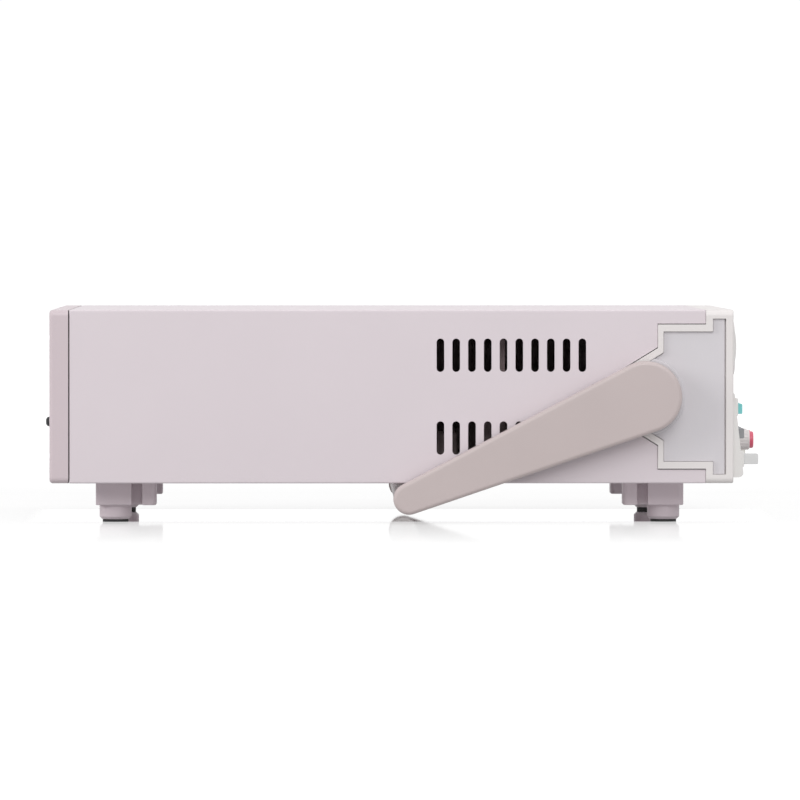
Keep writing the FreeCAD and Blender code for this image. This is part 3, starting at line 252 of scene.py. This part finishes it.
# edge, edge_tint and edge_radius set each finish's lighter edges: a painted highlight mixed with wear
SURFACES = {
    # the case's edges and vent rims are tinted near white: a painted highlight
    "case_paint": material("case_paint", linear(216, 206, 211), rough=0.42, rough_spread=0.02, grain=1500.0,
                           grain_depth=0.03, tone=0.012, edge=0.8, edge_radius=0.25,
                           edge_tint=linear(244, 238, 241)),
    "bezel_plastic": material("bezel_plastic", linear(226, 221, 220), rough=0.45, grain=2600.0, tone=0.02),
    "rear_plastic": material("rear_plastic", linear(204, 190, 195), rough=0.38, rough_spread=0.03,
                             grain=2600.0, tone=0.02),
    "trim_plastic": material("trim_plastic", linear(211, 207, 211), rough=0.5, grain=2400.0, tone=0.03),
    "panel_plastic": material("panel_plastic", linear(232, 230, 228), rough=0.45, grain=2600.0, tone=0.02),
    "rear_steel": material("rear_steel", linear(205, 203, 206), rough=0.45, grain=1500.0, grain_depth=0.035,
                           tone=0.03),
    "display_glass": material("display_glass", linear(52, 58, 54), rough=0.12, rough_spread=0.04,
                              grain=300.0, grain_depth=0.004, tone=0.05, coat=0.4),
    "circuit_board": material("circuit_board", linear(30, 92, 52), rough=0.35, grain=500.0, grain_depth=0.03,
                              tone=0.12, second=linear(60, 130, 80)),
    "black_plastic": material("black_plastic", linear(34, 34, 36), rough=0.42, grain=2400.0, tone=0.12,
                              edge_tint=linear(70, 70, 74)),
    "knob_plastic": material("knob_plastic", linear(226, 219, 219), rough=0.4, grain=2600.0, tone=0.03),
    "red_plastic": material("red_plastic", linear(218, 88, 114), rough=0.3, grain=1500.0, grain_depth=0.012,
                            tone=0.05, edge_tint=linear(240, 130, 150), coat=0.2),
    "teal_key": material("teal_key", linear(124, 204, 205), rough=0.45, grain=2600.0, tone=0.04),
    "grey_key": material("grey_key", linear(145, 145, 148), rough=0.48, grain=2600.0, tone=0.05),
    "button_plastic": material("button_plastic", linear(221, 221, 221), rough=0.4, grain=2600.0, tone=0.03),
    "bright_steel": material("bright_steel", linear(196, 197, 198), rough=0.32, grain=900.0,
                             grain_depth=0.01, tone=0.08, metallic=1.0, streak=(1.0, 1.0, 0.08)),
    "nickel": material("nickel", linear(205, 202, 196), rough=0.2, grain=1200.0, grain_depth=0.006,
                       tone=0.08, metallic=1.0, edge_tint=linear(230, 226, 214)),
    # the handle's rounded edges are tinted lighter over 0.7 mm: a painted highlight
    "handle_plastic": material("handle_plastic", linear(193, 180, 179), rough=0.36, rough_spread=0.03,
                               grain=2400.0, grain_depth=0.04, tone=0.02, edge=0.55,
                               edge_tint=linear(218, 208, 206), edge_radius=0.7),
    "foot_plastic": material("foot_plastic", linear(219, 206, 212), rough=0.5, grain=2400.0, tone=0.04),
    "black_rubber": material("black_rubber", linear(42, 41, 42), rough=0.75, grain=1800.0, grain_depth=0.05,
                             tone=0.15, edge_tint=linear(84, 82, 82)),
    "component_epoxy": material("component_epoxy", linear(160, 140, 142), rough=0.5, grain=1500.0, tone=0.1),
    "core_steel": material("core_steel", linear(92, 88, 86), rough=0.45, grain=1400.0, grain_depth=0.05,
                           tone=0.1, metallic=0.8, streak=(0.02, 1.0, 0.02)),
    "coil_tape": material("coil_tape", linear(214, 178, 60), rough=0.25, grain=700.0, grain_depth=0.02,
                          tone=0.06),
    "window_acrylic": clear_material("window_acrylic", (0.9, 0.9, 0.89), 0.04),
}
# finishes of small details inside those slots
RIM_WHITE = material("rim_white", linear(229, 227, 226), rough=0.3, grain=2600.0, grain_depth=0.01,
                     tone=0.015)
PRINT_INK = material("print_ink", linear(92, 90, 96), rough=0.55, grain=3000.0, grain_depth=0.008, tone=0.06,
                     edge=0.0)
KEY_INK = material("key_ink", linear(244, 246, 246), rough=0.5, grain=3000.0, grain_depth=0.008, tone=0.03,
                   edge=0.0)
SEGMENT_INK = material("segment_ink", linear(88, 98, 91), rough=0.2, grain=900.0, grain_depth=0.004,
                       tone=0.08, edge=0.0)
SOCKET_WHITE = material("socket_white", linear(232, 228, 216), rough=0.35, grain=1400.0, grain_depth=0.01,
                        tone=0.04)
SOCKET_GOLD = material("socket_gold", linear(222, 178, 88), rough=0.22, grain=900.0, grain_depth=0.006,
                       tone=0.06, metallic=1.0)


def dress_nodes():
    """Gives every CAD node the finish of its record slot."""
    slots = {entry["node"]: entry["material_slot"] for entry in frame["record"]["subparts"]}
    for name, item in NODES.items():
        finish = SURFACES[slots[name]]
        if not item.data.materials:
            item.data.materials.append(finish)
        for index in range(len(item.material_slots)):
            item.material_slots[index].material = finish


# ---------------------------------------------------------------- mesh helpers

def middle(node):
    low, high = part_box(node)
    return (low + high) / 2


def new_piece(name, mesh, body, finish, bevel=0.0):
    """Adds a finished mesh as a piece that rides on a body, with a rounded edge if bevel is given."""
    item = bpy.data.objects.new(name, mesh)
    bpy.context.scene.collection.objects.link(item)
    mesh.materials.append(finish)
    if bevel:
        rounding = item.modifiers.new("edges", "BEVEL")
        rounding.width = bevel
        rounding.segments = 2
        rounding.limit_method = "ANGLE"
        rounding.angle_limit = math.radians(35.0)
    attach(item, body)
    return item


def mesh_of(name, made):
    """Turns a bmesh into a mesh whose faces look outward, and frees it."""
    bmesh.ops.recalc_face_normals(made, faces=made.faces)
    mesh = bpy.data.meshes.new(name)
    made.to_mesh(mesh)
    made.free()
    return mesh


def surface_point(node, across, up, facing=OUT):
    """Where a straight look along Y meets a node, from in front or from behind."""
    outside = 0.4
    start = Vector((across, 0.0, up)) + facing * outside
    hit, place, _, _ = NODES[node].ray_cast(start, -facing)
    if not hit:
        raise RuntimeError(f"no surface of {node} at {across:.4f}, {up:.4f}")
    return place


def band_edges(points, width, closed):
    """Left and right edge points of a band of even width along a line of (across, up) points."""
    count = len(points)
    pairs = []
    for index, point in enumerate(points):
        before = points[index - 1] if closed or index else point
        after = points[(index + 1) % count] if closed or index < count - 1 else point
        into = Vector(point) - Vector(before)
        away = Vector(after) - Vector(point)
        if into.length < 1e-9:
            into = away
        if away.length < 1e-9:
            away = into
        into.normalize()
        away.normalize()
        tangent = (into + away).normalized()
        normal = Vector((-tangent.y, tangent.x))
        reach = width / 2 / max(0.5, normal.dot(Vector((-into.y, into.x))))
        pairs.append((Vector(point) + normal * reach, Vector(point) - normal * reach))
    return pairs


def print_on(name, node, body, finish, bands, facing=OUT, lift=0.04 * MM, sink=0.06 * MM):
    """Printed marks as thin raised bands that follow a node's surface.

    bands holds (points, width, closed) for each band, in metres across and up."""
    made = bmesh.new()
    for points, width, closed in bands:
        rows = []
        for left, right in band_edges(points, width, closed):
            row = []
            for edge in (left, right):
                place = surface_point(node, edge.x, edge.y, facing)
                row.append(made.verts.new(place + facing * lift))
                row.append(made.verts.new(place - facing * sink))
            rows.append(row)
        count = len(rows)
        for index in range(count if closed else count - 1):
            here, there = rows[index], rows[(index + 1) % count]
            made.faces.new((here[0], here[2], there[2], there[0]))
            made.faces.new((here[1], there[1], there[3], here[3]))
            made.faces.new((here[0], there[0], there[1], here[1]))
            made.faces.new((here[2], here[3], there[3], there[2]))
        if not closed:
            for row in (rows[0], rows[-1]):
                made.faces.new((row[0], row[1], row[3], row[2]))
    return new_piece(name, mesh_of(name, made), body, finish)


def arc_points(centre, radius, start, end, steps):
    """Points on a circle, angles in degrees clockwise from straight up."""
    points = []
    for step in range(steps + 1):
        angle = math.radians(start + (end - start) * step / steps)
        points.append((centre[0] + radius * math.sin(angle), centre[1] + radius * math.cos(angle)))
    return points


def turned(name, centre, facing, outline, body, finish, steps=48):
    """Turns an outline of this script's constants round the line through centre that points along facing."""
    made = bmesh.new()
    rings = []
    for step in range(steps):
        angle = 2 * math.pi * step / steps
        away = Vector((math.cos(angle), 0.0, math.sin(angle)))
        rings.append([made.verts.new(centre + away * radius * MM + facing * along * MM)
                      for radius, along in outline])
    count = len(outline)
    for step in range(steps):
        here, there = rings[step], rings[(step + 1) % steps]
        for index in range(count):
            following = (index + 1) % count
            made.faces.new((here[index], here[following], there[following], there[index]))
    bmesh.ops.remove_doubles(made, verts=made.verts, dist=1e-7)
    for face in made.faces:
        face.smooth = True
    mesh = mesh_of(name, made)
    mesh.set_sharp_from_angle(angle=math.radians(35.0))
    return new_piece(name, mesh, body, finish)


def carve(item, cutter):
    """Cuts the cutter's volume out of a piece and removes the cutter."""
    trim = item.modifiers.new("carve", "BOOLEAN")
    trim.operation = "DIFFERENCE"
    trim.solver = "EXACT"
    trim.object = cutter
    shown = item.evaluated_get(bpy.context.evaluated_depsgraph_get())
    mesh = bpy.data.meshes.new_from_object(shown)
    item.modifiers.remove(trim)
    item.data = mesh
    bpy.data.objects.remove(cutter)


def prism(name, outline, near, far):
    """Loose closed mesh: an (across, up) outline carried between two Y places."""
    made = bmesh.new()
    front = [made.verts.new((across, near, up)) for across, up in outline]
    rear = [made.verts.new((across, far, up)) for across, up in outline]
    made.faces.new(front)
    made.faces.new(reversed(rear))
    count = len(outline)
    for index in range(count):
        following = (index + 1) % count
        made.faces.new((front[index], rear[index], rear[following], front[following]))
    return mesh_of(name, made)


def box_outline(centre, half_wide, half_tall):
    """Corners of an upright rectangle."""
    return [(centre[0] + side * half_wide, centre[1] + level * half_tall)
            for side, level in ((-1, -1), (1, -1), (1, 1), (-1, 1))]


def cross_outline(centre, reach, half):
    """Plus-shaped outline of a screwdriver recess."""
    corners = []
    for step in range(4):
        along = Vector((math.cos(step * math.pi / 2), math.sin(step * math.pi / 2)))
        left = Vector((-along.y, along.x))
        corners += [along * reach - left * half, along * reach + left * half, (along + left) * half]
    return [(centre[0] + corner.x, centre[1] + corner.y) for corner in corners]


# ---------------------------------------------------------------- display

def window_arch():
    """The CAD window's low and high corners, and the place of its round front at a given height."""
    low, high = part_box("display_window")
    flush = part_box("front_bezel")[0].y
    stand = flush - low.y
    chord = high.z - low.z
    radius = (chord * chord / 4 + stand * stand) / (2 * stand)

    def front_at(up):
        from_middle = up - (low.z + high.z) / 2
        return flush - (math.sqrt(radius * radius - from_middle * from_middle) - (radius - stand))
    return low, high, front_at


def arch_sheet(name, columns, rows, front_at, back_at, opening=None):
    """Closed sheet over a grid of columns and rows, with a curved front and an optional opening.

    opening holds the first and last column and row index of the hole."""
    made = bmesh.new()
    front = [[made.verts.new((across, front_at(up), up)) for across in columns] for up in rows]
    rear = [[made.verts.new((across, back_at(up), up)) for across in columns] for up in rows]

    def is_solid(row, column):
        if not (0 <= row < len(rows) - 1 and 0 <= column < len(columns) - 1):
            return False
        if opening is None:
            return True
        return not (opening[0] <= column < opening[1] and opening[2] <= row < opening[3])

    for row in range(len(rows) - 1):
        for column in range(len(columns) - 1):
            if not is_solid(row, column):
                continue
            corners = ((row, column), (row, column + 1), (row + 1, column + 1), (row + 1, column))
            made.faces.new([front[a][b] for a, b in corners])
            made.faces.new([rear[a][b] for a, b in reversed(corners)])
            sides = (((row - 1, column), 0, 1), ((row, column + 1), 1, 2),
                     ((row + 1, column), 2, 3), ((row, column - 1), 3, 0))
            for neighbour, first, second in sides:
                if is_solid(*neighbour):
                    continue
                (a, b), (c, d) = corners[first], corners[second]
                made.faces.new((front[a][b], rear[a][b], rear[c][d], front[c][d]))
    return mesh_of(name, made)


def steps_between(start, end, count):
    return [start + (end - start) * step / count for step in range(count + 1)]


def make_window():
    """The window as it is made: a moulded arched frame round a clear arched pane."""
    low, high, front_at = window_arch()
    inner_low, inner_high = low.z + END_RIM, high.z - END_RIM
    rows = [low.z, low.z + END_RIM / 2, *steps_between(inner_low, inner_high, 20),
            high.z - END_RIM / 2, high.z]
    columns = [low.x, low.x + SIDE_RIM, high.x - SIDE_RIM, high.x]
    rim_mesh = arch_sheet("window_rim", columns, rows, front_at, lambda up: high.y, (1, 2, 2, len(rows) - 3))
    rim = new_piece("window_rim", rim_mesh, "case", RIM_WHITE, bevel=0.35 * MM)
    pane_columns = steps_between(low.x + SIDE_RIM + PANE_GAP, high.x - SIDE_RIM - PANE_GAP, 12)
    pane_rows = steps_between(inner_low + PANE_GAP, inner_high - PANE_GAP, 20)
    pane_mesh = arch_sheet("window_pane", pane_columns, pane_rows, lambda up: front_at(up) + PANE_RECESS,
                           lambda up: front_at(up) + PANE_RECESS + PANE_THICKNESS)
    pane = new_piece("window_pane", pane_mesh, "case", SURFACES["window_acrylic"])
    for piece in (rim, pane):
        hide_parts("display_window")


def make_display_mask():
    """Black printed border between the pane and the liquid crystal glass."""
    low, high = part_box("display_window")
    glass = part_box("display_module")[0].y
    front, rear = glass - 0.3 * MM, glass - 0.05 * MM
    side_margin, end_margin = 2.0 * MM, 1.0 * MM
    columns = [low.x + side_margin, low.x + MASK_SIDE, high.x - MASK_SIDE, high.x - side_margin]
    rows = [low.z + end_margin, low.z + MASK_END, high.z - MASK_END, high.z - end_margin]
    mesh = arch_sheet("display_mask", columns, rows, lambda up: front, lambda up: rear, (1, 2, 1, 2))
    new_piece("display_mask", mesh, "case", SURFACES["black_plastic"])


def make_segments():
    """Unlit seven-bar digits, faintly visible in the display glass."""
    low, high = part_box("display_window")
    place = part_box("display_module")[0].y - 0.03 * MM
    centre_up = (low.z + high.z) / 2
    half_wide, half_tall = 2.7 * MM, 5.0 * MM
    bar, bar_gap, lean = 1.1 * MM, 0.15 * MM, 0.1
    first = (low.x + high.x) / 2 - DIGIT_PITCH * (DIGITS - 1) / 2
    made = bmesh.new()

    def add_bar(start, end):
        along = Vector(end) - Vector(start)
        along.normalize()
        side = Vector((-along.y, along.x)) * bar / 2
        begin = Vector(start) + along * bar_gap
        stop = Vector(end) - along * bar_gap
        tip = along * bar / 2
        outline = [begin, begin + tip + side, stop - tip + side, stop, stop - tip - side, begin + tip - side]
        made.faces.new([made.verts.new((point.x, place, point.y)) for point in outline])

    def corner(across, side, level):
        return (across + half_wide * side + lean * half_tall * level, centre_up + half_tall * level)

    for number in range(DIGITS):
        across = first + DIGIT_PITCH * number
        for level in (-1, 0, 1):
            add_bar(corner(across, -1, level), corner(across, 1, level))
        for side in (-1, 1):
            for level in (-1, 0):
                add_bar(corner(across, side, level), corner(across, side, level + 1))
    mesh = mesh_of("display_segments", made)
    piece = new_piece("display_segments", mesh, "case", SEGMENT_INK)
    solid = piece.modifiers.new("thickness", "SOLIDIFY")
    solid.thickness = 0.02 * MM


# ---------------------------------------------------------------- front panel markings

def wave_line(kind, centre, half_long, half_tall):
    """Centre line of a generic waveform sign."""
    across, up = centre
    if kind == "sine":
        return [(across + half_long * (step / 12.0 - 1.0), up + half_tall * math.sin(math.pi * step / 12.0))
                for step in range(25)]
    shapes = {
        "square": ((-1, -1), (-0.5, -1), (-0.5, 1), (0.25, 1), (0.25, -1), (1, -1)),
        "triangle": ((-1, -1), (-0.5, 1), (0, -1), (0.5, 1), (1, -1)),
        "ramp": ((-1, -1), (0, 1), (0, -1), (1, 1)),
        "noise": ((-1, 0), (-0.8, 0.7), (-0.6, -0.9), (-0.35, 0.4), (-0.15, -0.5), (0.1, 1), (0.3, -0.8),
                  (0.5, 0.5), (0.75, -0.6), (1, 0.2)),
    }
    return [(across + half_long * a, up + half_tall * b) for a, b in shapes[kind]]


def mark_keys():
    """Waveform signs on the five function keys and pointing signs on the two arrow keys."""
    for number, kind in enumerate(("sine", "square", "triangle", "ramp", "noise"), start=1):
        key = f"function_key_{number}"
        centre = middle(key)
        line = wave_line(kind, (centre.x, centre.z), 3.6 * MM, 1.2 * MM)
        print_on(f"{key}_sign", key, f"{key}_body", KEY_INK, [(line, SIGN_LINE, False)])
    for key, way in (("left_arrow_key", -1), ("right_arrow_key", 1)):
        centre = middle(key)
        line = [(centre.x - 1.0 * MM * way, centre.z + 1.3 * MM), (centre.x + 1.1 * MM * way, centre.z),
                (centre.x - 1.0 * MM * way, centre.z - 1.3 * MM)]
        print_on(f"{key}_sign", key, f"{key}_body", KEY_INK, [(line, SIGN_LINE, False)])


def label_stroke(across, up, half_long, width=INK_LINE):
    """Level stroke that stands for a printed label."""
    return ([(across - half_long, up), (across + half_long, up)], width, False)


def knob_scale(knob):
    """Ticks round a knob, with longer ones at the ends and in the middle."""
    centre = middle(knob)
    bands = []
    for tick in range(KNOB_TICKS):
        angle = KNOB_SWING * (2 * tick / (KNOB_TICKS - 1) - 1)
        inner, outer = 6.7 * MM, (8.0 if tick % 5 else 8.6) * MM
        ends = [arc_points((centre.x, centre.z), reach, angle, angle, 1)[0] for reach in (inner, outer)]
        bands.append((ends, TICK_LINE, False))
    return bands


def mark_panel():
    """Plain label strokes beside the keys and sockets, ticks round the knobs, and a power sign."""
    bands = []
    for number in range(1, 9):
        centre = middle(f"menu_key_{number}")
        half_long = (2.6 + 0.5 * (number % 3)) * MM
        bands.append(label_stroke(centre.x, centre.z + 4.6 * MM, half_long))
    for key in ("left_arrow_key", "right_arrow_key"):
        centre = middle(key)
        bands.append(label_stroke(centre.x, centre.z - 5.0 * MM, 2.2 * MM))
    for knob in ("amplitude_knob", "offset_knob"):
        centre = middle(knob)
        bands += knob_scale(knob)
        bands.append(label_stroke(centre.x, centre.z + 10.2 * MM, 3.4 * MM))
    for jack in ("sync_jack", "output_jack"):
        centre = middle(jack)
        bands.append(label_stroke(centre.x, centre.z + 10.6 * MM, 3.6 * MM))
    button = middle("power_button")
    sign = (button.x + 11.0 * MM, button.z)
    bands.append((arc_points(sign, 1.7 * MM, 35.0, 325.0, 20), INK_LINE, False))
    bands.append(([(sign[0], sign[1] + 0.4 * MM), (sign[0], sign[1] + 2.2 * MM)], INK_LINE, False))
    print_on("panel_marks", "front_panel", "case", PRINT_INK, bands)


def mark_knobs():
    """White index lines laid in the red caps' slots."""
    for name in ("amplitude", "offset"):
        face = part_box(f"{name}_knob_cap")[0].y
        centre = middle(f"{name}_knob_cap")
        outline = box_outline((centre.x, centre.z + 2.45 * MM), 0.36 * MM, 1.4 * MM)
        mesh = prism(f"{name}_index", outline, face + 0.12 * MM, face + 0.4 * MM)
        new_piece(f"{name}_index", mesh, name, KEY_INK, bevel=0.04 * MM)


# ---------------------------------------------------------------- sockets and inlet

def fit_jack(name, facing):
    """White insulator and gilt centre contact inside a coaxial socket."""
    low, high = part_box(name)
    tip = low.y if facing.y < 0 else high.y
    recess = 2.2 * MM
    core = Vector(((low.x + high.x) / 2, tip, (low.z + high.z) / 2)) - facing * recess
    turned(f"{name}_insulator", core, facing, INSULATOR_OUTLINE, "case", SOCKET_WHITE)
    turned(f"{name}_contact", core, facing, CONTACT_OUTLINE, "case", SOCKET_GOLD)


def fit_inlet():
    """Plated pins in the mains inlet and the two screws that hold its flange."""
    low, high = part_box("mains_inlet")
    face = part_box("rear_panel")[1].y
    across = (low.x + high.x) / 2
    socket_floor = low.z + 4.0 * MM
    for number, (shift, rise) in enumerate(((0.0, 11.0), (-7.0, 6.0), (7.0, 6.0)), start=1):
        place = (across + shift * MM, socket_floor + rise * MM)
        mesh = prism(f"inlet_pin_{number}", box_outline(place, 1.12 * MM, 2.12 * MM),
                     face - 16.4 * MM, face - 3.8 * MM)
        new_piece(f"inlet_pin_{number}", mesh, "case", SURFACES["nickel"], bevel=0.5 * MM)
    level = (low.z + high.z) / 2
    for number, place in enumerate((low.x + 4.5 * MM, high.x - 4.5 * MM), start=1):
        seat = Vector((place, high.y, level))
        screw = turned(f"inlet_screw_{number}", seat, REAR, SCREW_OUTLINE, "case",
                       SURFACES["bright_steel"])
        cutter_mesh = prism("cutter", cross_outline((place, level), 1.5 * MM, 0.3 * MM),
                            seat.y + 0.5 * MM, seat.y + 3.0 * MM)
        cutter = bpy.data.objects.new("cutter", cutter_mesh)
        bpy.context.scene.collection.objects.link(cutter)
        carve(screw, cutter)


def mark_rear():
    """Earth sign beside the ground terminal and plain label strokes by the rear sockets."""
    ground = middle("ground_terminal")
    across, up = ground.x + 12.0 * MM, ground.z
    bands = [([(across, up + 2.6 * MM), (across, up)], SIGN_LINE, False)]
    for number, half_long in enumerate((2.4, 1.5, 0.6)):
        bands.append(label_stroke(across, up - 1.1 * MM * number, half_long * MM, SIGN_LINE))
    jack = middle("rear_jack")
    for level, half_long in ((-10.6, 4.0), (-12.2, 2.6)):
        bands.append(label_stroke(jack.x, jack.z + level * MM, half_long * MM, SIGN_LINE))
    inlet_low, inlet_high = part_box("mains_inlet")
    bands.append(label_stroke((inlet_low.x + inlet_high.x) / 2, inlet_low.z - 3.4 * MM, 7.0 * MM, SIGN_LINE))
    print_on("rear_marks", "rear_panel", "case", PRINT_INK, bands, facing=REAR)


def fit_seam_shade_strip():
    """Dark strip in the seam between the covers and the rear bezel: painted shade for the seam, made as a
    foam strip.
    """
    low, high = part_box("top_cover")
    clearance = 0.02 * MM
    near, far = high.y + clearance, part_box("rear_bezel")[0].y - clearance
    outer, inner = 0.55 * MM, 1.8 * MM
    columns = [low.x + outer, low.x + inner, high.x - inner, high.x - outer]
    rows = [low.z + outer, low.z + inner, high.z - inner, high.z - outer]
    mesh = arch_sheet("seam_shade_strip", columns, rows, lambda up: near, lambda up: far, (1, 2, 1, 2))
    new_piece("seam_shade_strip", mesh, "case", SURFACES["black_rubber"])


# ---------------------------------------------------------------- stage, light and camera

def footprint_distance(tree):
    """How far a point of the floor lies outside the object's footprint."""
    place = add_node(tree, "ShaderNodeNewGeometry").outputs["Position"]
    apart = add_node(tree, "ShaderNodeVectorMath", operation="ABSOLUTE")
    wire(tree, place, apart.inputs[0])
    outside = add_node(tree, "ShaderNodeVectorMath", operation="SUBTRACT")
    wire(tree, apart.outputs["Vector"], outside.inputs[0])
    outside.inputs[1].default_value = (CAD_BOX[1].x - SIDE_INSET, CAD_BOX[1].y, 0.0)
    clear = add_node(tree, "ShaderNodeVectorMath", operation="MAXIMUM")
    wire(tree, outside.outputs["Vector"], clear.inputs[0])
    distance = add_node(tree, "ShaderNodeVectorMath", operation="LENGTH")
    wire(tree, clear.outputs["Vector"], distance.inputs[0])
    return distance.outputs["Value"]


def combine(tree, operation, first, second):
    """Result of a maths node on two sockets."""
    item = add_node(tree, "ShaderNodeMath", operation=operation)
    wire(tree, first, item.inputs[0])
    wire(tree, second, item.inputs[1])
    return item.outputs[0]


def blend_shaders(tree, factor, first, second):
    item = add_node(tree, "ShaderNodeMixShader")
    wire(tree, factor, item.inputs["Fac"])
    wire(tree, first, item.inputs[1])
    wire(tree, second, item.inputs[2])
    return item.outputs[0]


def floor_glow(tree, distance):
    """Glow that grows away from the object, and is weaker as a light source than to the camera."""
    seen = remap(tree, distance, FLOOR_GLOW, BACKDROP, *GLOW_FADE)
    bounce = FLOOR_BOUNCE / FLOOR_GLOW
    shaded = remap(tree, distance, FLOOR_SHADE * bounce, bounce, *SHADE_FADE)
    share = add_node(tree, "ShaderNodeMix", data_type="FLOAT")
    wire(tree, add_node(tree, "ShaderNodeLightPath").outputs["Is Diffuse Ray"], share.inputs["Factor"])
    share.inputs["A"].default_value = 1.0
    wire(tree, shaded, share.inputs["B"])
    return combine(tree, "MULTIPLY", seen, share.outputs["Result"])


def floor_gloss(tree, distance):
    """Mirror-like under the object and weaker around it, and only at a grazing look."""
    mirror = remap(tree, distance, 1.0, 0.0, *MIRROR_FADE)
    around = remap(tree, distance, FLOOR_GLOSS, 0.0, *GLOSS_FADE)
    fresnel = add_node(tree, "ShaderNodeFresnel")
    fresnel.inputs["IOR"].default_value = 1.35
    grazing = remap(tree, fresnel.outputs[0], 0.0, 1.0, 0.03, 0.8)
    return combine(tree, "MULTIPLY", combine(tree, "MAXIMUM", mirror, around), grazing)


def make_stage():
    """Pale floor: a glossy white sheet under the object, which turns matt around it."""
    reach = 9.0
    floor_mesh = bpy.data.meshes.new("floor")
    floor_mesh.from_pydata([(-reach, -reach, 0), (reach, -reach, 0), (reach, reach, 0), (-reach, reach, 0)],
                           [], [(0, 1, 2, 3)])
    floor = bpy.data.objects.new("floor", floor_mesh)
    bpy.context.scene.collection.objects.link(floor)
    pale = bpy.data.materials.new("pale_floor")
    pale.use_nodes = True
    tree = pale.node_tree
    matt = tree.nodes["Principled BSDF"]
    matt.inputs["Base Color"].default_value = (0.25, 0.25, 0.25, 1.0)
    matt.inputs["Specular IOR Level"].default_value = 0.0
    matt.inputs["Emission Color"].default_value = (1.0, 1.0, 1.0, 1.0)
    gloss = add_node(tree, "ShaderNodeBsdfGlossy")
    gloss.inputs["Roughness"].default_value = 0.04
    gloss.inputs["Color"].default_value = (1.0, 1.0, 1.0, 1.0)
    distance = footprint_distance(tree)
    wire(tree, floor_glow(tree, distance), matt.inputs["Emission Strength"])
    top_side = blend_shaders(tree, floor_gloss(tree, distance), matt.outputs[0], gloss.outputs[0])
    # clear from below, so that the object's underside can be looked at
    from_below = add_node(tree, "ShaderNodeNewGeometry").outputs["Backfacing"]
    clear = add_node(tree, "ShaderNodeBsdfTransparent").outputs[0]
    wire(tree, blend_shaders(tree, from_below, top_side, clear),
         tree.nodes["Material Output"].inputs["Surface"])
    floor_mesh.materials.append(pale)


def area_light(name, place, target, size, power, shine=True):
    """Soft rectangular lamp. Without shine it lights surfaces but leaves no highlight on them."""
    lamp = bpy.data.lights.new(name, "AREA")
    lamp.shape = "RECTANGLE"
    lamp.size, lamp.size_y = size
    lamp.energy = power
    item = bpy.data.objects.new(name, lamp)
    item.location = place
    item.rotation_euler = (Vector(target) - Vector(place)).to_track_quat("-Z", "Y").to_euler()
    item.visible_glossy = shine
    bpy.context.scene.collection.objects.link(item)


def make_light():
    """Even white room with soft lamps above the front, above the left side and behind."""
    scene = bpy.context.scene
    world = bpy.data.worlds.new("studio")
    scene.world = world
    world.use_nodes = True
    tree = world.node_tree
    backdrop = tree.nodes["Background"]
    backdrop.inputs["Color"].default_value = (1.0, 1.0, 1.0, 1.0)
    path = add_node(tree, "ShaderNodeLightPath")
    wire(tree, remap(tree, path.outputs["Is Diffuse Ray"], BACKDROP, AMBIENT, 0.0, 1.0),
         backdrop.inputs["Strength"])
    area_light("overhead", (0.0, -0.9, 1.6), (0.0, 0.0, 0.0), (1.8, 1.8), 9.0)
    area_light("side_key", (-2.3, -0.4, 1.5), (-0.13, 0.0, 0.05), (1.6, 1.6), 27.0)
    area_light("rear_wrap", (-1.0, 2.2, 1.0), (-0.13, 0.15, 0.05), (1.2, 1.2), 26.0, shine=False)
    scene.view_settings.view_transform = "Standard"


def make_camera():
    """Long lens at the object's left, a little above it and behind its middle."""
    low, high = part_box("top_cover")
    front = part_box("front_bezel")[0].y
    place = Vector((low.x - CAMERA_DISTANCE, front + CAMERA_BEHIND, high.z + CAMERA_RISE))
    aim = Vector((low.x, front + AIM_BEHIND, high.z - AIM_DROP))
    lens = bpy.data.cameras.new("camera")
    lens.sensor_width = FILM_WIDTH
    lens.lens = FILM_WIDTH * CAMERA_DISTANCE / PICTURE_WIDTH
    lens.clip_start = 0.1
    lens.clip_end = 60.0
    item = bpy.data.objects.new("camera", lens)
    item.location = place
    item.rotation_euler = (aim - place).to_track_quat("-Z", "Y").to_euler()
    bpy.context.scene.collection.objects.link(item)
    bpy.context.scene.camera = item


dress_nodes()
make_window()
make_display_mask()
make_segments()
mark_keys()
mark_panel()
mark_knobs()
for socket_name, way_out in (("sync_jack", OUT), ("output_jack", OUT), ("rear_jack", REAR)):
    fit_jack(socket_name, way_out)
fit_inlet()
mark_rear()
fit_seam_shade_strip()
make_stage()
make_light()
make_camera()
